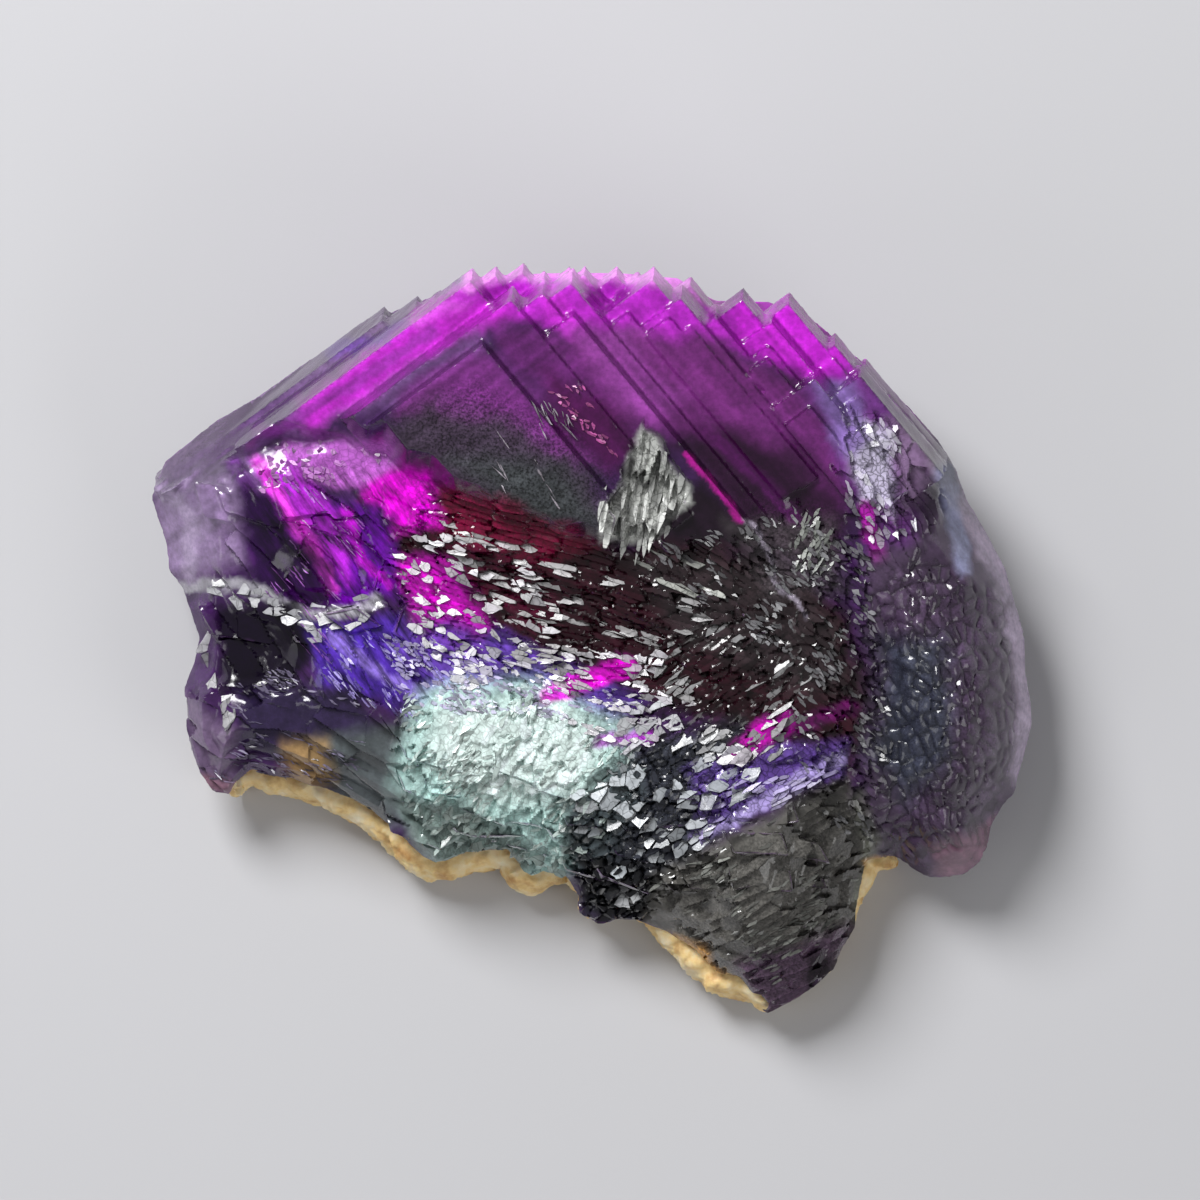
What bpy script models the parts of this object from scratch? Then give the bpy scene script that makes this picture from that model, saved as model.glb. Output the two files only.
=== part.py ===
"""Fluorite specimen, lying on its broken back with its crystal face up.

The mass is one grown-together piece. Stepped growth plates, all parallel to one set of cube axes, make the
crest and the two shoulders. Below them the front is a chipped, etched break, with cleavage steps along curved
lines, two hollows on the left, a knobbly lobe on the right and a wedge that ends in a point. An ochre rind of
matrix covers the lower part of the underside and shows as a rim along the lower edge.

Lengths in the tables are millimetres. X runs to the right and Y to the crest as seen from the front, and Z
is up, towards the eye. The origin ends at the middle of the footprint, on the surface it rests on.
"""

import math
import random

import bmesh
import bpy
from mathutils import Matrix, Vector, noise
from mathutils.geometry import delaunay_2d_cdt, intersect_point_line

MM = 0.001
SEED = 11

# The whole specimen
WIDTH = 52.0  # left tip to right lobe, the driving size
DRAWN_WIDTH = 52.0  # the width that the tables below are drawn at
SCALE = WIDTH / DRAWN_WIDTH

# The break: the height of its rim, of its middle, and how fast the front rises from the rim
RIM_HEIGHT = 5.0
RIM_RISE = 0.10  # extra height for each millimetre towards the crest
RIM_LIFT = (8.0, 0.012)  # from this Y up to the crest it also rises by this times the distance squared
MIDDLE_HEIGHT = 11.6
MIDDLE_RISE = 0.17
EDGE_SOFTNESS = 3.0  # distance from the rim at which the front is two thirds up
BACK_DEPTH = 5.5  # how far in from the rim the back reaches the surface below
FRONT_GRAIN = 1.35  # spacing of the front's facets
LOBE_GRAIN = 0.95  # the same on the knobbly lobe
BACK_GRAIN = 2.9
FRONT_ROUGHNESS = 0.38
BACK_ROUGHNESS = 0.55

# The cube axes: the two edges that run down from every corner, seen from the front, and their dip
LEFT_EDGE_DEG = 36.0
RIGHT_EDGE_DEG = 50.0
EDGE_DIP = 0.26

# The matrix rind
RIND_GAP = 0.3
RIND_WIDTH = 0.9  # how much of it shows past the crystal where it shows at all
RIND_SHOWS = [(-21.6, -1.2), (3.0, 9.6), (15.6, 18.6)]  # from and to along X, each tapering off
RIND_TAPER = 1.4
RIND_TUCK = 0.4  # how far it lies under the crystal's rim where it doesn't show
RIND_SECTION = [(0.0, 0.5), (1.1, 0.0), (2.3, 0.1), (3.0, 0.55)]  # height, and distance in from its edge
RIND_WAVE = 0.35  # unevenness of the two middle rings

# The outline below the crest, clockwise from the left tip. The growth plates make the skyline above it.
OUTLINE = [
    (-26.0, 8.4), (-25.2, 10.5), (-22.2, 12.9), (-19.6, 14.4), (-16.2, 16.8), (-13.2, 18.8),
    (-10.2, 19.9), (-6.5, 21.3), (-2.6, 21.6), (1.5, 21.6), (5.0, 21.3), (7.2, 20.0),
    (10.4, 19.9), (12.6, 19.2), (14.4, 17.7), (16.6, 15.8), (18.9, 13.5), (20.4, 11.8),
    (21.4, 10.2),
    (22.1, 8.3), (23.3, 6.3), (24.4, 4.2), (25.0, 2.1), (25.5, 0.4), (25.6, -1.8),
    (25.9, -3.6), (26.0, -4.9), (25.6, -6.6), (25.2, -7.9), (25.0, -9.0), (24.2, -9.9),
    (23.6, -11.0), (23.4, -12.2), (22.9, -13.2), (22.0, -13.9), (20.9, -14.1), (19.8, -14.1),
    (18.9, -13.6), (17.8, -13.35), (16.7, -13.6), (16.3, -14.8), (15.8, -15.8), (15.6, -17.0),
    (14.8, -18.3), (14.3, -19.5), (13.2, -20.5), (11.9, -21.4), (10.3, -22.2), (9.1, -21.5),
    (8.2, -20.9), (6.9, -20.6), (6.2, -19.9), (5.1, -18.9), (4.1, -18.0), (3.4, -17.2),
    (2.6, -16.6), (1.5, -16.6), (0.4, -16.9), (-0.9, -16.1), (-0.9, -15.1), (-1.6, -14.3),
    (-2.6, -14.6), (-3.7, -14.9), (-4.7, -14.4), (-5.3, -13.3), (-7.2, -13.5), (-8.4, -14.0),
    (-9.5, -14.1), (-10.5, -13.6), (-11.4, -12.8), (-12.3, -11.9), (-13.5, -10.9), (-14.7, -10.2),
    (-16.0, -9.7), (-16.9, -9.5), (-17.9, -9.1), (-19.1, -9.0), (-20.0, -8.6),
    (-20.7, -9.0), (-21.3, -9.4), (-22.4, -9.0), (-23.2, -7.8), (-23.7, -6.4), (-24.0, -5.1),
    (-23.9, -4.1), (-24.1, -2.9), (-23.5, -1.3), (-23.2, 0.1), (-23.7, 1.7), (-24.2, 3.1),
    (-25.0, 4.1), (-25.1, 5.6), (-25.6, 7.1),
]

# Swellings and hollows of the break: name, x, y, half length, half width, turn in degrees, height
LUMPS = [
    ("pale window", -6.5, -7.2, 8.0, 4.6, -12, 1.6),
    ("maroon bowl", -0.5, 1.0, 9.5, 4.4, -12, -1.9),
    ("violet hollow", -15.4, 4.2, 4.2, 3.2, -35, -3.6),
    ("black hollow", -19.4, -1.2, 2.3, 3.4, 10, -3.4),
    ("ridge between hollows", -17.4, 1.6, 6.2, 0.8, -6, 1.7),
    ("left flange", -24.0, 5.0, 1.9, 6.5, 0, -1.8),
    ("left lower brow", -22.6, -4.6, 1.2, 4.2, 12, 1.3),
    ("right valley", 17.2, -3.2, 1.7, 9.6, 10, -1.7),
    ("right lobe", 22.3, -4.8, 2.9, 8.4, 6, 2.2),
    ("right knuckle", 17.6, 8.2, 2.9, 3.1, 0, 1.6),
    ("wedge spine", 9.4, -14.8, 2.3, 7.5, -14, 2.4),
    ("wedge foot", 3.2, -14.6, 3.4, 1.9, 14, -0.9),
    ("notch", 16.4, -13.2, 1.6, 3.0, 0, -1.5),
]

# Growth plates: corner x and y as seen, level along the face normal, run down-left, run down-right, thickness
CREST_PLATES = [
    (-6.4, 17.2, 11.3, 9.0, 16.5, 4.2),
    (-4.7, 19.8, 10.3, 13.0, 17.0, 2.8),
    (-7.1, 20.9, 8.3, 18.0, 8.0, 2.7),
    (-2.9, 20.2, 9.4, 4.0, 18.0, 2.8),
    (-1.1, 18.9, 9.9, 5.0, 21.0, 4.2),
    (-1.2, 20.8, 8.8, 6.0, 21.0, 2.9),
    (3.5, 21.0, 7.8, 7.0, 20.0, 2.8),
    (5.2, 19.9, 8.2, 6.0, 17.0, 2.7),
    (7.2, 18.8, 7.6, 6.0, 14.0, 2.7),
    (2.1, 19.0, 8.4, 1.6, 15.0, 1.5),
    (4.5, 18.8, 8.6, 1.8, 13.0, 1.5),
    (5.7, 18.3, 8.5, 1.2, 12.0, 1.4),
]
# The rows below are drawn by where the corner's foot shows, because they make the skyline
SKYLINE_PLATES = [
    (-7.4, 21.3, 6.3, 8.0, 4.0, 2.0),
    (-5.6, 22.0, 6.7, 3.4, 6.0, 2.0),
    (-4.0, 22.15, 6.0, 2.6, 7.0, 2.0),
    (-2.8, 21.7, 6.5, 2.4, 7.0, 2.0),
    (-1.3, 22.0, 6.9, 2.4, 7.0, 2.0),
    (-0.4, 22.0, 6.4, 1.8, 7.0, 2.0),
    (1.5, 22.0, 5.7, 2.6, 7.0, 2.0),
    (2.7, 21.7, 6.2, 1.6, 5.0, 2.0),
    (3.7, 22.0, 5.3, 2.6, 7.0, 2.0),
    (5.8, 21.4, 5.5, 3.0, 7.0, 2.0),
    (8.9, 20.7, 6.7, 5.0, 9.0, 2.4),
    (11.6, 20.5, 5.7, 5.0, 13.0, 2.4),
]
LEFT_SHOULDER = [
    (-8.9, 20.6, 6.8, 19.0, 7.0, 2.8),
    (-10.2, 20.3, 5.7, 19.4, 7.0, 2.8),
    (-12.2, 19.7, 4.4, 17.4, 7.0, 2.8),
    (-13.4, 18.6, 3.4, 15.6, 6.0, 2.8),
    (-11.0, 18.2, 7.0, 13.4, 5.0, 2.4),
]
RIGHT_SHOULDER = [
    (10.6, 19.4, 7.1, 3.0, 12.0, 2.4),
    (14.3, 18.1, 5.4, 2.4, 9.0, 2.4),
    (16.1, 16.7, 4.7, 2.2, 7.4, 2.4),
    (13.1, 16.1, 8.4, 3.2, 9.0, 2.4),
    (15.8, 16.3, 7.0, 2.6, 8.0, 2.4),
    (17.5, 14.4, 6.4, 2.4, 5.0, 2.4),
    (18.6, 13.7, 4.8, 2.0, 3.9, 2.4),
]
PLATE_PLAY = 0.03  # every plate is off by up to this much, so that no two lie in one plane

# Where the plates break off, left to right, and how that break leans back towards the crest
BREAK_LINE = [
    (-27.0, 11.6), (-24.6, 11.4), (-22.6, 12.4), (-20.4, 12.2), (-18.4, 13.0), (-16.4, 12.4),
    (-14.6, 12.2), (-13.2, 11.0), (-12.1, 10.9), (-10.8, 9.6), (-9.3, 9.3), (-8.0, 8.2),
    (-6.6, 7.8), (-5.1, 6.8), (-3.4, 6.6), (-1.9, 5.8), (-0.4, 6.0), (0.9, 5.2), (2.6, 5.9),
    (4.4, 5.2), (6.4, 5.7), (8.0, 4.5), (9.6, 4.9), (11.0, 5.9), (12.6, 6.6), (14.2, 5.6),
    (15.6, 5.7), (17.2, 4.6), (18.6, 4.9), (20.2, 6.4), (27.0, 7.6),
]
BREAK_LEAN = 0.55
BREAK_LINE_HEIGHT = 13.0  # the height at which the plates end on BREAK_LINE

# The feathery chip in the big faces: its outline, and its depth below the face at its tip and at its foot
CHIP = [
    (3.4, 12.4), (4.1, 11.9), (4.6, 10.6), (5.9, 9.0), (5.2, 8.0), (4.6, 6.4), (3.4, 5.0),
    (1.0, 5.2), (1.5, 7.2), (0.8, 7.9), (1.9, 9.2), (1.7, 10.0), (2.8, 11.4),
]
CHIP_LEVEL = 10.0  # of the face that it is cut into
CHIP_DEPTH = (0.35, 1.3)

# Cleavage steps: curved rows of level treads, from one point to another, bowed by so much
STEP_ROWS = [
    ((-12.2, 7.6), (9.4, 3.6), 1.6, 11),
    ((-13.0, 6.0), (11.6, 2.0), 2.2, 12),
    ((-12.6, 4.2), (13.0, 0.4), 2.6, 13),
    ((-12.0, 2.4), (13.8, -1.2), 2.9, 13),
    ((-11.4, 0.6), (14.0, -2.8), 3.0, 13),
    ((-10.4, -1.2), (13.8, -4.4), 2.9, 12),
    ((-9.4, -3.4), (13.4, -6.0), 2.4, 12),
    ((-11.6, -5.6), (12.8, -7.8), 1.8, 13),
    ((-12.2, -7.8), (12.4, -9.8), 1.2, 12),
    ((-11.0, -10.2), (12.6, -11.8), 0.8, 12),
    ((-1.6, -13.0), (13.6, -13.8), 0.5, 8),
    ((-23.2, 1.4), (-13.0, 1.4), 0.5, 6),
    ((-22.4, 8.6), (-14.4, 8.0), 0.4, 5),
]
STEP_LONG = (1.5, 3.6)
STEP_WIDE = (1.1, 2.2)
STEP_SKEW = (0.2, 1.6)  # how far a tread's lower side is shifted along, which gives it a sharp corner
STEP_THICK = 1.4
STEP_PROUD = (0.0, 0.55)
STEP_STRAY = 0.5  # how far a tread lies off its row
STEP_TILT_DEG = (-5.0, 4.0)  # near level, because they all follow one cleavage plane

# Knobs in rows down the right lobe
KNOB_ROWS = [18.6, 20.3, 22.0, 23.8]
KNOB_PITCH = 2.3
KNOB_RADIUS = 0.85
KNOB_HEIGHT = 0.6
KNOBS_FROM, KNOBS_TO = 6.0, -12.6

# The rind's plan: along the lower rim, then back under the specimen
RIND_INNER = [(16.2, -9.6), (9.5, -10.5), (3.0, -9.4), (-6.0, -7.6), (-14.0, -5.2), (-20.6, -5.0)]
RIND_FIRST, RIND_LAST = 38, 79  # the stretch of OUTLINE that it follows

# Noise on the surfaces, in waves a millimetre
RIM_WAVE, RIM_WAVES = 0.35, 0.35
FRONT_WAVES = 0.9
BACK_WAVES = 0.5
RIND_WAVES = 0.8
KNOB_PLAY = 0.7

# The grid of points that the skins are made from
PLAN_WIDE, PLAN_HIGH = 27.0, 23.0  # half its width and height
ROW_PITCH = 0.87  # between rows, as a share of the grain
SCATTER = 0.3  # how far a point strays, as a share of the grain
FRONT_MARGIN, LOBE_MARGIN, BACK_MARGIN = 0.8, 0.7, 1.2
LOBE_EDGE = 1.2  # how far left of its first row of knobs the lobe starts

# Growth lines on a plate: how many, how far in and up each is set, and how thick it is
LINE_COUNTS = (1, 2)
LINE_INSET = (0.5, 1.3)
LINE_RISE = (0.28, 0.5)
LINE_THICK = 2.0

# Reach of the cutters, and the play of the treads
BREAK_WIDE, BREAK_LOW = 27.0, -30.0
BREAK_LEVELS = (-2.0, 30.0)
CHIP_CUT = 4.0
STEP_TURN = 0.2
STEP_SLANT = 0.4

# Finishes: colour, roughness, transmission
CRYSTAL_FINISH = ((0.30, 0.10, 0.42, 1.0), 0.15, 0.6)
RIND_FINISH = ((0.72, 0.49, 0.20, 1.0), 0.8, 0.0)
REFRACTION = 1.434


def clear_scene():
    for obj in list(bpy.data.objects):
        bpy.data.objects.remove(obj, do_unlink=True)


def collection(name, helpers=False):
    made = bpy.data.collections.new(name)
    bpy.context.scene.collection.children.link(made)
    made.hide_render = helpers
    return made


def material(name, colour, roughness, transmission):
    made = bpy.data.materials.new(name)
    made.use_nodes = True
    shader = made.node_tree.nodes["Principled BSDF"]
    shader.inputs["Base Color"].default_value = colour
    shader.inputs["Roughness"].default_value = roughness
    shader.inputs["Metallic"].default_value = 0.0
    shader.inputs["Transmission Weight"].default_value = transmission
    shader.inputs["IOR"].default_value = REFRACTION
    return made


def add_object(name, bm, where, finish=None):
    """A mesh object made from a bmesh in millimetres."""
    bmesh.ops.recalc_face_normals(bm, faces=bm.faces)
    mesh = bpy.data.meshes.new(name)
    bm.to_mesh(mesh)
    bm.free()
    mesh.transform(Matrix.Scale(MM * SCALE, 4))
    obj = bpy.data.objects.new(name, mesh)
    where.objects.link(obj)
    if finish is None:
        obj.hide_render = True
        obj.display_type = "WIRE"
    else:
        mesh.materials.append(finish)
    return obj


def combine(obj, other, operation):
    modifier = obj.modifiers.new(other.name, "BOOLEAN")
    modifier.operation = operation
    modifier.solver = "EXACT"
    modifier.use_self = True
    modifier.object = other


def moved_out(polygon, amounts):
    """A clockwise polygon with each corner moved out by its own amount."""
    moved = []
    for i, (x, y) in enumerate(polygon):
        along = Vector(polygon[(i + 1) % len(polygon)]) - Vector(polygon[i - 1])
        along.normalize()
        moved.append((x - amounts[i] * along.y, y + amounts[i] * along.x))
    return moved


def rind_shows(i):
    """How much of the rind's width shows at a corner of OUTLINE, from 0 to 1."""
    if not RIND_FIRST <= i <= RIND_LAST:
        return 0.0
    x = OUTLINE[i][0]
    shares = [min((x - first) / RIND_TAPER, (last - x) / RIND_TAPER) for first, last in RIND_SHOWS]
    return min(1.0, max(0.0, *shares))


CRYSTAL_OUTLINE = moved_out(OUTLINE, [-RIND_WIDTH * rind_shows(i) for i in range(len(OUTLINE))])


def rim_distance(x, y):
    point = Vector((x, y))
    best = math.inf
    for first, second in zip(CRYSTAL_OUTLINE, CRYSTAL_OUTLINE[1:] + CRYSTAL_OUTLINE[:1]):
        near, share = intersect_point_line(point, Vector(first), Vector(second))
        near = Vector(first).lerp(Vector(second), min(1.0, max(0.0, share)))
        best = min(best, (near - point).length)
    return best


def inside(x, y, polygon):
    hits = False
    for (x1, y1), (x2, y2) in zip(polygon, polygon[1:] + polygon[:1]):
        if (y1 > y) != (y2 > y) and x < x1 + (y - y1) * (x2 - x1) / (y2 - y1):
            hits = not hits
    return hits


def rim_height(x, y):
    lift = RIM_LIFT[1] * max(0.0, y - RIM_LIFT[0]) ** 2
    wave = RIM_WAVE * noise.noise(Vector((x * RIM_WAVES, y * RIM_WAVES, 4.0)))
    return RIM_HEIGHT + RIM_RISE * y + lift + wave


def lump_height(x, y):
    total = 0.0
    for _, cx, cy, half_long, half_wide, turn, height in LUMPS:
        cos, sin = math.cos(math.radians(turn)), math.sin(math.radians(turn))
        along = ((x - cx) * cos + (y - cy) * sin) / half_long
        across = ((y - cy) * cos - (x - cx) * sin) / half_wide
        total += height * math.exp(-(along**2 + across**2))
    return total


def knob_height(x, y):
    """Soft knobs in staggered rows down the right lobe."""
    if not KNOBS_TO < y < KNOBS_FROM:
        return 0.0
    best = 0.0
    for row, knob_x in enumerate(KNOB_ROWS):
        at = (y - KNOBS_TO) / KNOB_PITCH + 0.5 * (row % 2)
        for number in (math.floor(at), math.floor(at) + 1):
            cell = noise.noise_vector(Vector((row * 3.1, number * 1.7, 5.0)))
            dx = x - knob_x - KNOB_PLAY * cell.x
            dy = (at - number) * KNOB_PITCH - KNOB_PLAY * cell.y
            best = max(best, KNOB_HEIGHT * (1 + cell.z) * math.exp(-(dx**2 + dy**2) / KNOB_RADIUS**2))
    return best


def front_height(x, y, roughness=0.0):
    """The height of the break above a point of the plan."""
    rim = rim_height(x, y)
    rise = 1 - math.exp(-rim_distance(x, y) / EDGE_SOFTNESS)
    middle = MIDDLE_HEIGHT + MIDDLE_RISE * y + lump_height(x, y)
    rough = roughness * noise.noise(Vector((x * FRONT_WAVES, y * FRONT_WAVES, 9.0)))
    return rim + rise * (middle - rim + rough + knob_height(x, y))


def back_height(x, y):
    """The underside: it falls from the rim to the flat that the specimen rests on."""
    left = 1 - rim_distance(x, y) / BACK_DEPTH
    rough = BACK_ROUGHNESS * noise.noise(Vector((x * BACK_WAVES, y * BACK_WAVES, 2.0)))
    return max(0.0, rim_height(x, y) * left + rough * min(1.0, 4 * max(0.0, left)))


def plan_points(grain, margin, rng, wanted):
    """Points scattered over the wanted part of the plan, about one grain apart and clear of the rim."""
    points = []
    rows = int(2 * PLAN_HIGH / (grain * ROW_PITCH)) + 1
    for row in range(rows):
        y = -PLAN_HIGH + row * grain * ROW_PITCH
        shift = 0.5 * grain * (row % 2)
        for step in range(int(2 * PLAN_WIDE / grain) + 1):
            px = -PLAN_WIDE + shift + step * grain + rng.uniform(-SCATTER, SCATTER) * grain
            py = y + rng.uniform(-SCATTER, SCATTER) * grain
            if wanted(px, py) and inside(px, py, CRYSTAL_OUTLINE) and rim_distance(px, py) > margin:
                points.append((px, py))
    return points


def skin(bm, rim, points, height, upwards):
    """A surface of triangles over the plan, from the rim's vertices inwards."""
    flat = [Vector(p) for p in CRYSTAL_OUTLINE + points]
    found, _, faces, origins, _, _ = delaunay_2d_cdt(flat, [], [list(range(len(rim)))], 1, 1e-5)
    verts = []
    for at, origin in zip(found, origins):
        if origin[0] < len(rim):
            verts.append(rim[origin[0]])
        else:
            verts.append(bm.verts.new((at.x, at.y, height(at.x, at.y))))
    middles = {}
    for face in faces:
        loop = []
        for first, second in zip(face, list(face[1:]) + [face[0]]):
            loop.append(verts[first])
            ends = (origins[first][0], origins[second][0])
            apart = abs(ends[0] - ends[1])
            if max(ends) < len(rim) and apart not in (1, len(rim) - 1):
                # An edge straight from rim to rim would be shared with the other side, so it gets a middle
                middle = (verts[first].co + verts[second].co) / 2
                if frozenset(ends) not in middles:
                    height_there = height(middle.x, middle.y)
                    middles[frozenset(ends)] = bm.verts.new((middle.x, middle.y, height_there))
                loop.append(middles[frozenset(ends)])
        loop = loop if upwards else loop[::-1]
        start = next((i for i, vert in enumerate(loop) if vert in middles.values()), 0)
        loop = loop[start:] + loop[:start]
        for second, third in zip(loop[1:], loop[2:]):
            bm.faces.new((loop[0], second, third))


def on_lobe(x, y):
    return x > KNOB_ROWS[0] - LOBE_EDGE and y < KNOBS_FROM


def make_core(where, finish):
    """The break, front and back, as one closed skin."""
    rng = random.Random(SEED)
    bm = bmesh.new()
    rim = [bm.verts.new((x, y, rim_height(x, y))) for x, y in CRYSTAL_OUTLINE]
    front = plan_points(FRONT_GRAIN, FRONT_MARGIN, rng, lambda x, y: not on_lobe(x, y))
    front += plan_points(LOBE_GRAIN, LOBE_MARGIN, rng, on_lobe)
    back = plan_points(BACK_GRAIN, BACK_MARGIN, rng, lambda x, y: True)
    skin(bm, rim, front, lambda x, y: front_height(x, y, FRONT_ROUGHNESS), True)
    skin(bm, rim, back, back_height, False)
    return add_object("fluorite", bm, where, finish)


def crystal_axes():
    """Unit vectors down the left edge, down the right edge and out of the face."""
    level = math.sqrt(1 - EDGE_DIP**2)
    left, right = math.radians(LEFT_EDGE_DEG), math.radians(RIGHT_EDGE_DEG)
    down_left = Vector((-level * math.cos(left), -level * math.sin(left), -EDGE_DIP))
    face = down_left.cross(Vector((level * math.cos(right), -level * math.sin(right), -EDGE_DIP)))
    face.normalize()
    return down_left, face.cross(down_left), face


def add_box(bm, corner, sides):
    """A box from its corner and the three edge vectors that leave it."""
    made = bmesh.ops.create_cube(bm, size=1.0)["verts"]
    turn = Matrix([s.to_tuple() for s in sides]).transposed().to_4x4()
    bmesh.ops.transform(bm, verts=made, matrix=Matrix.Translation(corner + sum(sides, Vector()) / 2) @ turn)


def add_plate(bm, axes, plate):
    x, y, level, left_run, right_run, thick = plate
    down_left, down_right, face = axes
    z = (level - face.x * x - face.y * y) / face.z
    add_box(bm, Vector((x, y, z)), (down_left * left_run, down_right * right_run, -face * thick))


def raised_from_foot(plate):
    """A plate drawn by its corner's foot, drawn by its corner instead."""
    x, y, level, left_run, right_run, thick = plate
    _, _, face = crystal_axes()
    return (x + face.x * thick, y + face.y * thick, level, left_run, right_run, thick)


def growth_lines(plate, rng):
    """Thin steps on a plate's face: the same corner, set in and raised a little each time."""
    x, y, level, left_run, right_run, _ = plate
    down_left, down_right, _ = crystal_axes()
    made = []
    inset = 0.0
    for _ in range(rng.choice(LINE_COUNTS)):
        inset += rng.uniform(*LINE_INSET)
        level += rng.uniform(*LINE_RISE)
        at = Vector((x, y, 0)) + inset * (down_left + down_right)
        made.append((at.x, at.y, level, left_run - inset, right_run - inset, LINE_THICK))
    return made


def make_plates(where):
    rng = random.Random(SEED + 1)
    axes = crystal_axes()
    bm = bmesh.new()
    plates = list(CREST_PLATES)
    for drawn in SKYLINE_PLATES + LEFT_SHOULDER + RIGHT_SHOULDER:
        plate = raised_from_foot(drawn)
        plates.append(plate)
        if drawn not in SKYLINE_PLATES:
            plates += growth_lines(plate, rng)
    for plate in plates:
        add_plate(bm, axes, [value + rng.uniform(-PLATE_PLAY, PLATE_PLAY) for value in plate])
    return add_object("growth_plates", bm, where)


def join_rings(bm, rings):
    """Closes a stack of rings, from the lowest up, into one solid."""
    bm.faces.new(rings[0])
    bm.faces.new(rings[-1][::-1])
    for lower, upper in zip(rings, rings[1:]):
        for i in range(len(lower)):
            j = (i + 1) % len(lower)
            bm.faces.new((lower[i], lower[j], upper[j], upper[i]))
    bmesh.ops.triangulate(bm, faces=bm.faces)


def make_break(where):
    """What the break took off the plates: everything below BREAK_LINE, its wall leaning back."""
    plan = BREAK_LINE + [(BREAK_WIDE, BREAK_LOW), (-BREAK_WIDE, BREAK_LOW)]
    bm = bmesh.new()
    rings = []
    for z in BREAK_LEVELS:
        shift = BREAK_LEAN * (z - BREAK_LINE_HEIGHT)
        rings.append([bm.verts.new((x, y + (shift if y > BREAK_LOW else 0.0), z)) for x, y in plan])
    join_rings(bm, rings)
    return add_object("plate_break", bm, where)


def make_chip(where):
    """The cutter for the feathery chip, deeper towards its foot."""
    _, _, face = crystal_axes()
    top, foot = CHIP[0][1], min(y for _, y in CHIP)
    bm = bmesh.new()
    rings = []
    for raised in (0.0, CHIP_CUT):
        ring = []
        for x, y in CHIP:
            depth = CHIP_DEPTH[0] + (CHIP_DEPTH[1] - CHIP_DEPTH[0]) * (top - y) / (top - foot)
            z = (CHIP_LEVEL - face.x * x - face.y * y) / face.z - depth + raised
            ring.append(bm.verts.new((x, y, z)))
        rings.append(ring)
    join_rings(bm, rings)
    return add_object("feather_chip", bm, where)


def make_steps(where):
    """Level treads set in the break along curved rows like roof tiles, all on one cleavage plane."""
    rng = random.Random(SEED + 2)
    bm = bmesh.new()
    for (x1, y1), (x2, y2), bow, count in STEP_ROWS:
        for i in range(count):
            share = (i + rng.uniform(0.2, 0.8)) / count
            x = x1 + (x2 - x1) * share
            y = y1 + (y2 - y1) * share - bow * math.sin(math.pi * share)
            y += rng.uniform(-STEP_STRAY, STEP_STRAY)
            slope = (y2 - y1 - bow * math.pi * math.cos(math.pi * share)) / (x2 - x1)
            turn = Matrix.Rotation(math.atan(slope) + rng.uniform(-STEP_TURN, STEP_TURN), 3, "Z")
            frame = turn @ Matrix.Rotation(math.radians(rng.uniform(*STEP_TILT_DEG)), 3, "X")
            sides = (
                frame @ Vector((rng.uniform(*STEP_LONG), rng.uniform(-STEP_SLANT, STEP_SLANT), 0)),
                frame @ Vector((-rng.uniform(*STEP_SKEW), rng.uniform(*STEP_WIDE), 0)),
                frame @ Vector((0, 0, -STEP_THICK)),
            )
            z = front_height(x, y) + rng.uniform(*STEP_PROUD)
            add_box(bm, Vector((x, y, z)) - sides[0] / 2 - sides[1] / 2, sides)
    return add_object("cleavage_steps", bm, where)


def make_rind(name, where, grow, finish=None):
    """The rind, or with grow the space that the crystal leaves for it."""
    edge = range(RIND_FIRST, RIND_LAST + 1)
    tucks = [-RIND_TUCK * (1 - rind_shows(i)) for i in range(len(OUTLINE))]
    plan = [moved_out(OUTLINE, tucks)[i] for i in edge] + RIND_INNER[::-1]
    bm = bmesh.new()
    rings = []
    for number, (z, inset) in enumerate(RIND_SECTION):
        middle = 0 < number < len(RIND_SECTION) - 1
        z += grow if number > 1 else -grow
        ring = []
        amounts = [grow - inset * (i < len(edge)) for i in range(len(plan))]
        for (x, y), (drawn_x, drawn_y) in zip(moved_out(plan, amounts), plan):
            wave = noise.noise(Vector((drawn_x * RIND_WAVES, drawn_y * RIND_WAVES, 7.0))) if middle else 0.0
            ring.append(bm.verts.new((x, y, z + RIND_WAVE * wave)))
        rings.append(ring)
    join_rings(bm, rings)
    return add_object(name, bm, where, finish)


def rest_on_origin(objects):
    """Moves the specimen so that the middle of its footprint is the origin."""
    bpy.context.view_layer.update()
    graph = bpy.context.evaluated_depsgraph_get()
    corners = [o.matrix_world @ Vector(c) for o in objects for c in o.evaluated_get(graph).bound_box]
    low = Vector([min(c[k] for c in corners) for k in range(3)])
    high = Vector([max(c[k] for c in corners) for k in range(3)])
    middle = (low + high) / 2
    for obj in bpy.data.objects:
        obj.location -= Vector((middle.x, middle.y, low.z))


def main():
    clear_scene()
    specimen = collection("fluorite_specimen")
    helpers = collection("helpers", helpers=True)
    crystal = material("purple_fluorite", *CRYSTAL_FINISH)
    ochre = material("ochre_matrix", *RIND_FINISH)

    fluorite = make_core(specimen, crystal)
    plates = make_plates(helpers)
    combine(plates, make_break(helpers), "DIFFERENCE")
    combine(plates, make_chip(helpers), "DIFFERENCE")
    combine(fluorite, plates, "UNION")
    combine(fluorite, make_steps(helpers), "UNION")
    combine(fluorite, make_rind("rind_space", helpers, RIND_GAP), "DIFFERENCE")
    rind = make_rind("matrix_crust", specimen, 0.0, ochre)
    rest_on_origin([fluorite, rind])


main()
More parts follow.
